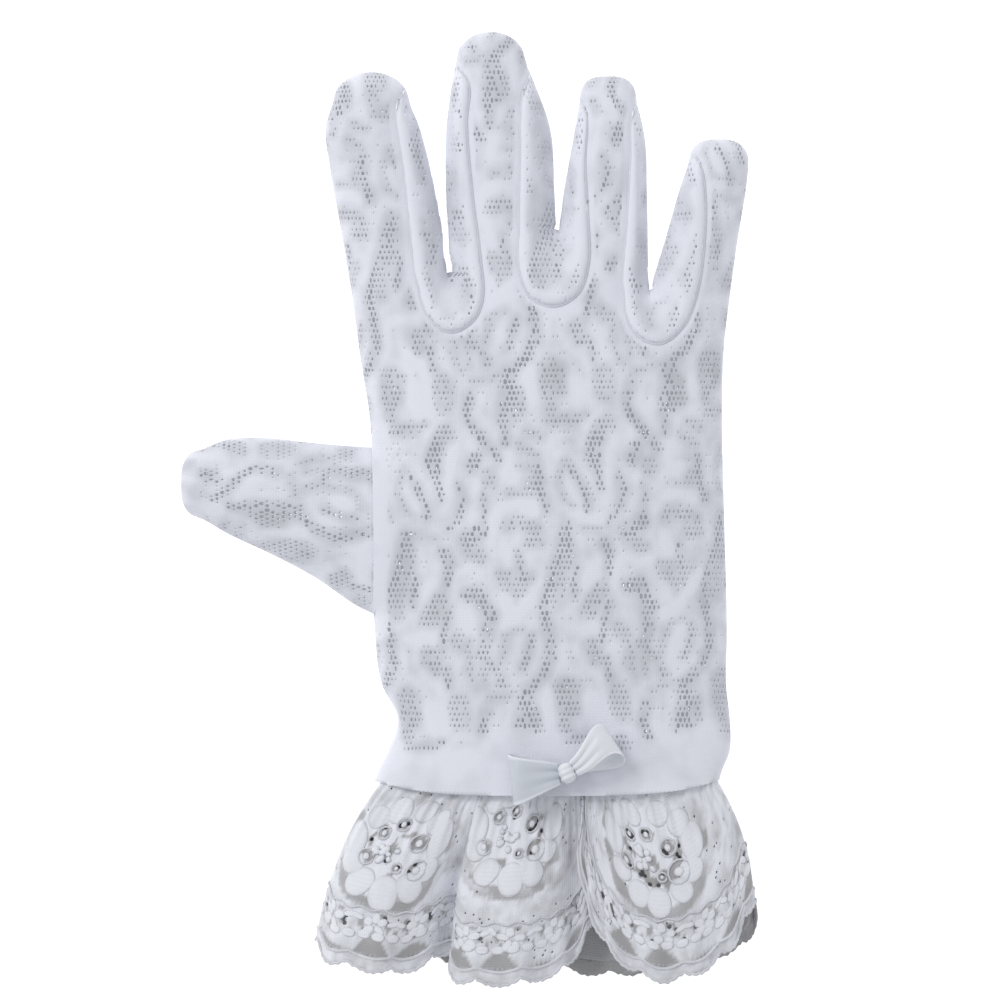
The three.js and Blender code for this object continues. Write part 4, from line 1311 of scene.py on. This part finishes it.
# Lamps are (place, width, power, colour). The camera takes in width at level, both in
# millimetres, as its place is.
studio = {
    "floor": 6.0, "floorWhite": (0.93, 0.93, 0.93, 1), "floorGlow": 0.6,
    "sky": 0.66, "skyColour": (0.985, 0.985, 1.0, 1),
    "lamps": {"key": ((-1.1, 1.0, 1.3), 0.8, 15.0, (1.0, 0.99, 0.97)),
              "fill": ((1.1, -0.6, 1.2), 1.2, 1.0, (0.94, 0.97, 1.0))},
    "camera": {"x": 7.44, "y": 1.2, "width": 240.0, "above": 1600.0, "level": 6.0},
}


def addFloor():
    half = studio["floor"] / 2
    mesh = bpy.data.meshes.new("floor")
    mesh.from_pydata([(-half, -half, 0), (half, -half, 0), (half, half, 0), (-half, half, 0)], [],
                     [(0, 1, 2, 3)])
    floor = bpy.data.objects.new("floor", mesh)
    material, shader, start = newFinish("floor", 0.8, 0.0)
    grain = start.node("TexNoise", inputs={"Scale": 40.0, "Detail": 2.0})
    white = studio["floorWhite"]
    dim = tuple(c * 0.985 for c in white[:3]) + (1,)
    grain.mixed(dim, white).into(shader, "Base Color")
    shader.inputs["Emission Color"].default_value = (1, 1, 1, 1)
    shader.inputs["Emission Strength"].default_value = studio["floorGlow"]
    mesh.materials.append(material)
    scene.collection.objects.link(floor)


# A round lamp that faces the glove.
def addLight(name, place, size, power, colour):
    data = bpy.data.lights.new(name, "AREA")
    data.shape = "DISK"
    data.size, data.energy, data.color = size, power, colour
    lamp = bpy.data.objects.new(name, data)
    lamp.location = place
    lamp.rotation_mode = "QUATERNION"
    lamp.rotation_quaternion = (-Vector(place)).to_track_quat("-Z", "Y")
    scene.collection.objects.link(lamp)


# The camera looks straight down.
def addCamera():
    view = studio["camera"]
    data = bpy.data.cameras.new("camera")
    data.sensor_width = 36.0
    data.lens = data.sensor_width * (view["above"] - view["level"]) / view["width"]
    data.clip_start, data.clip_end = 0.05, 50
    camera = bpy.data.objects.new("camera", data)
    camera.location = (view["x"] * mm, view["y"] * mm, view["above"] * mm)
    scene.collection.objects.link(camera)
    scene.camera = camera


addFloor()
for name, lamp in studio["lamps"].items():
    addLight(name, *lamp)
addCamera()
world = bpy.data.worlds.new("studio")
world.use_nodes = True
world.node_tree.nodes["Background"].inputs["Color"].default_value = studio["skyColour"]
world.node_tree.nodes["Background"].inputs["Strength"].default_value = studio["sky"]
scene.world = world
scene.view_settings.view_transform = "Standard"
scene.view_settings.look = "None"
